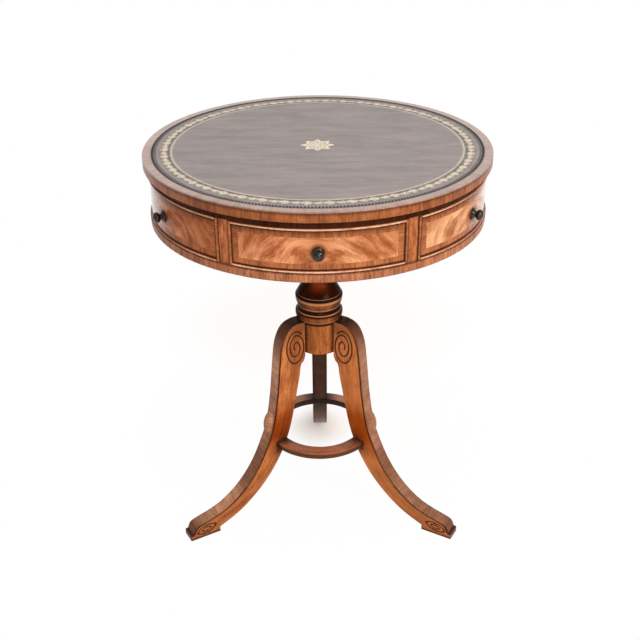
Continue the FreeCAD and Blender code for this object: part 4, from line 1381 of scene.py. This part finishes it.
# Stage: floor, light and camera
FLOOR_REACH = 12.0
FLOOR_SEEN = (0.97, 0.875, 0.81)
FLOOR_BOUNCE = (0.5, 0.48, 0.46)
BACK_FOOT_DISTANCE = 0.19
FAR_GROUND_DISTANCE = 0.62
WHITE = (1.0, 1.0, 1.0, 1.0)
SKY_COLOUR = (1.0, 0.985, 0.965, 1.0)
KEY_PLACE = (1.7, -1.9, 2.1)
KEY_TARGET = (0.0, 0.0, 0.4)
KEY_SIZE = 1.6
FILL_PLACE = (0.3, -2.6, 0.7)
FILL_TARGET = (0.0, 0.0, 0.35)
FILL_SIZE = 1.2
SENSOR_WIDTH = 36.0


def seen_rays(tree):
    """1 for what the camera sees, by itself or in a reflection or through glass."""
    path = tree.node("ShaderNodeLightPath").outputs
    return tree.either(path["Is Camera Ray"], path["Is Glossy Ray"], path["Is Transmission Ray"])


def ground_white(tree, white_share):
    """Share of plain white on the floor: least under the back foot, a little less far behind."""
    x, y = tree.parts(tree.place())[:2]
    away = tree.length(x, tree.take(y, BACK_FOOT_DISTANCE))
    drift = tree.length(x, tree.times(tree.take(y, FAR_GROUND_DISTANCE), 1.15))
    shadow = tree.fade(away, 0.012, 0.085, white_share * 0.2, white_share)
    return tree.times(tree.fade(away, 0.15, 0.42, shadow, 1.0), tree.fade(drift, 0.1, 0.38, 0.72, 1.0))


def add_floor(white_share):
    material = bpy.data.materials.new("pale_floor")
    material.use_nodes = True
    nodes = material.node_tree.nodes
    tree = Tree(material.node_tree)
    shader = nodes["Principled BSDF"]
    seen = seen_rays(tree)
    tree.put(shader.inputs["Base Color"], tree.mix(seen, FLOOR_BOUNCE, FLOOR_SEEN))
    shader.inputs["Roughness"].default_value = 0.9
    shader.inputs["Specular IOR Level"].default_value = 0.0
    white = tree.node("ShaderNodeEmission")
    white.inputs["Color"].default_value = WHITE
    tree.mix_shaders(
        tree.times(seen, ground_white(tree, white_share)), shader.outputs[0], white.outputs[0],
        nodes["Material Output"].inputs["Surface"])
    mesh = bpy.data.meshes.new("floor")
    corners = ((-1.0, -1.0), (1.0, -1.0), (1.0, 1.0), (-1.0, 1.0))
    mesh.from_pydata([(FLOOR_REACH * x, FLOOR_REACH * y, 0.0) for x, y in corners], [], [(0, 1, 2, 3)])
    mesh.materials.append(material)
    floor = bpy.data.objects.new("floor", mesh)
    bpy.context.scene.collection.objects.link(floor)


def add_soft_light(strength):
    """Even light, stronger from above and from behind. The camera sees plain white."""
    world = bpy.data.worlds.new("soft_room")
    bpy.context.scene.world = world
    world.use_nodes = True
    nodes = world.node_tree.nodes
    tree = Tree(world.node_tree)
    light = nodes["Background"]
    light.inputs["Color"].default_value = SKY_COLOUR
    direction = tree.parts(tree.node("ShaderNodeTexCoord").outputs["Generated"])
    sky = tree.fade(direction["Z"], -0.2, 0.9, strength * 0.4, strength * 1.7)
    backdrop = tree.times(tree.fade(direction["Y"], 0.3, 0.85), strength * 1.1)
    tree.put(light.inputs["Strength"], tree.add(sky, backdrop))
    white = tree.node("ShaderNodeBackground")
    white.inputs["Color"].default_value = WHITE
    white.inputs["Strength"].default_value = 1.0
    seen = tree.node("ShaderNodeLightPath").outputs["Is Camera Ray"]
    tree.mix_shaders(seen, light.outputs[0], white.outputs[0], nodes["World Output"].inputs["Surface"])


def add_lamp(name, place, target, size, power):
    lamp = bpy.data.lights.new(name, "AREA")
    lamp.shape = "DISK"
    lamp.size = size
    lamp.energy = power
    holder = bpy.data.objects.new(name, lamp)
    holder.location = place
    holder.rotation_euler = (Vector(target) - Vector(place)).to_track_quat("-Z", "Y").to_euler()
    bpy.context.scene.collection.objects.link(holder)


def add_camera(stage):
    lens = bpy.data.cameras.new("camera")
    lens.lens = stage.lens
    lens.sensor_width = SENSOR_WIDTH
    camera = bpy.data.objects.new("camera", lens)
    tilt = Matrix.Rotation(stage.camera_tilt, 4, "X") @ Matrix.Rotation(stage.camera_roll, 4, "Z")
    camera.matrix_world = Matrix.Translation(stage.camera_place) @ tilt
    bpy.context.scene.collection.objects.link(camera)
    bpy.context.scene.camera = camera


class DRUMTABLE_OT_stage(bpy.types.Operator):
    """Floor, soft light and camera"""
    bl_idname = "drum_table.stage"
    bl_label = "Stage"

    def execute(self, context):
        stage = context.scene.drum_table_stage
        add_floor(stage.floor_white)
        add_soft_light(stage.world_strength)
        add_lamp("key_lamp", KEY_PLACE, KEY_TARGET, KEY_SIZE, stage.key_power)
        add_lamp("fill_lamp", FILL_PLACE, FILL_TARGET, FILL_SIZE, stage.fill_power)
        add_camera(stage)
        context.scene.view_settings.view_transform = "Standard"
        return {"FINISHED"}


OPERATORS = (
    DRUMTABLE_OT_stage, DRUMTABLE_OT_leather, DRUMTABLE_OT_top, DRUMTABLE_OT_drum, DRUMTABLE_OT_fronts,
    DRUMTABLE_OT_knobs, DRUMTABLE_OT_inside, DRUMTABLE_OT_column, DRUMTABLE_OT_legs, DRUMTABLE_OT_stretcher,
    DRUMTABLE_OT_metal,
)


class DRUMTABLE_PT_panel(bpy.types.Panel):
    """Sidebar list of the table's pieces"""
    bl_idname = "DRUMTABLE_PT_panel"
    bl_label = "Drum table"
    bl_space_type = "VIEW_3D"
    bl_region_type = "UI"
    bl_category = "Drum table"

    def draw(self, context):
        layout = self.layout
        for group in GROUPS:
            box = layout.box()
            settings = getattr(context.scene, group)
            for name in settings.__annotations__:
                box.prop(settings, name)
        for operator in OPERATORS:
            layout.operator(operator.bl_idname)


GROUPS = {
    "drum_table_sizes": DrumTableSizes,
    "drum_table_colours": DrumTableColours,
    "drum_table_stage": DrumTableStage,
}


def register():
    for group in GROUPS.values():
        bpy.utils.register_class(group)
    for operator in OPERATORS:
        bpy.utils.register_class(operator)
    bpy.utils.register_class(DRUMTABLE_PT_panel)
    for name, group in GROUPS.items():
        setattr(bpy.types.Scene, name, bpy.props.PointerProperty(type=group))


def unregister():
    for name in GROUPS:
        delattr(bpy.types.Scene, name)
    bpy.utils.unregister_class(DRUMTABLE_PT_panel)
    for operator in reversed(OPERATORS):
        bpy.utils.unregister_class(operator)
    for group in reversed(list(GROUPS.values())):
        bpy.utils.unregister_class(group)


def main():
    register()
    bpy.ops.drum_table.stage()
    bpy.ops.drum_table.leather()
    bpy.ops.drum_table.top()
    bpy.ops.drum_table.drum()
    bpy.ops.drum_table.fronts()
    bpy.ops.drum_table.knobs()
    bpy.ops.drum_table.inside()
    bpy.ops.drum_table.column()
    bpy.ops.drum_table.legs()
    bpy.ops.drum_table.stretcher()
    bpy.ops.drum_table.metal()


if __name__ == "__main__":
    main()
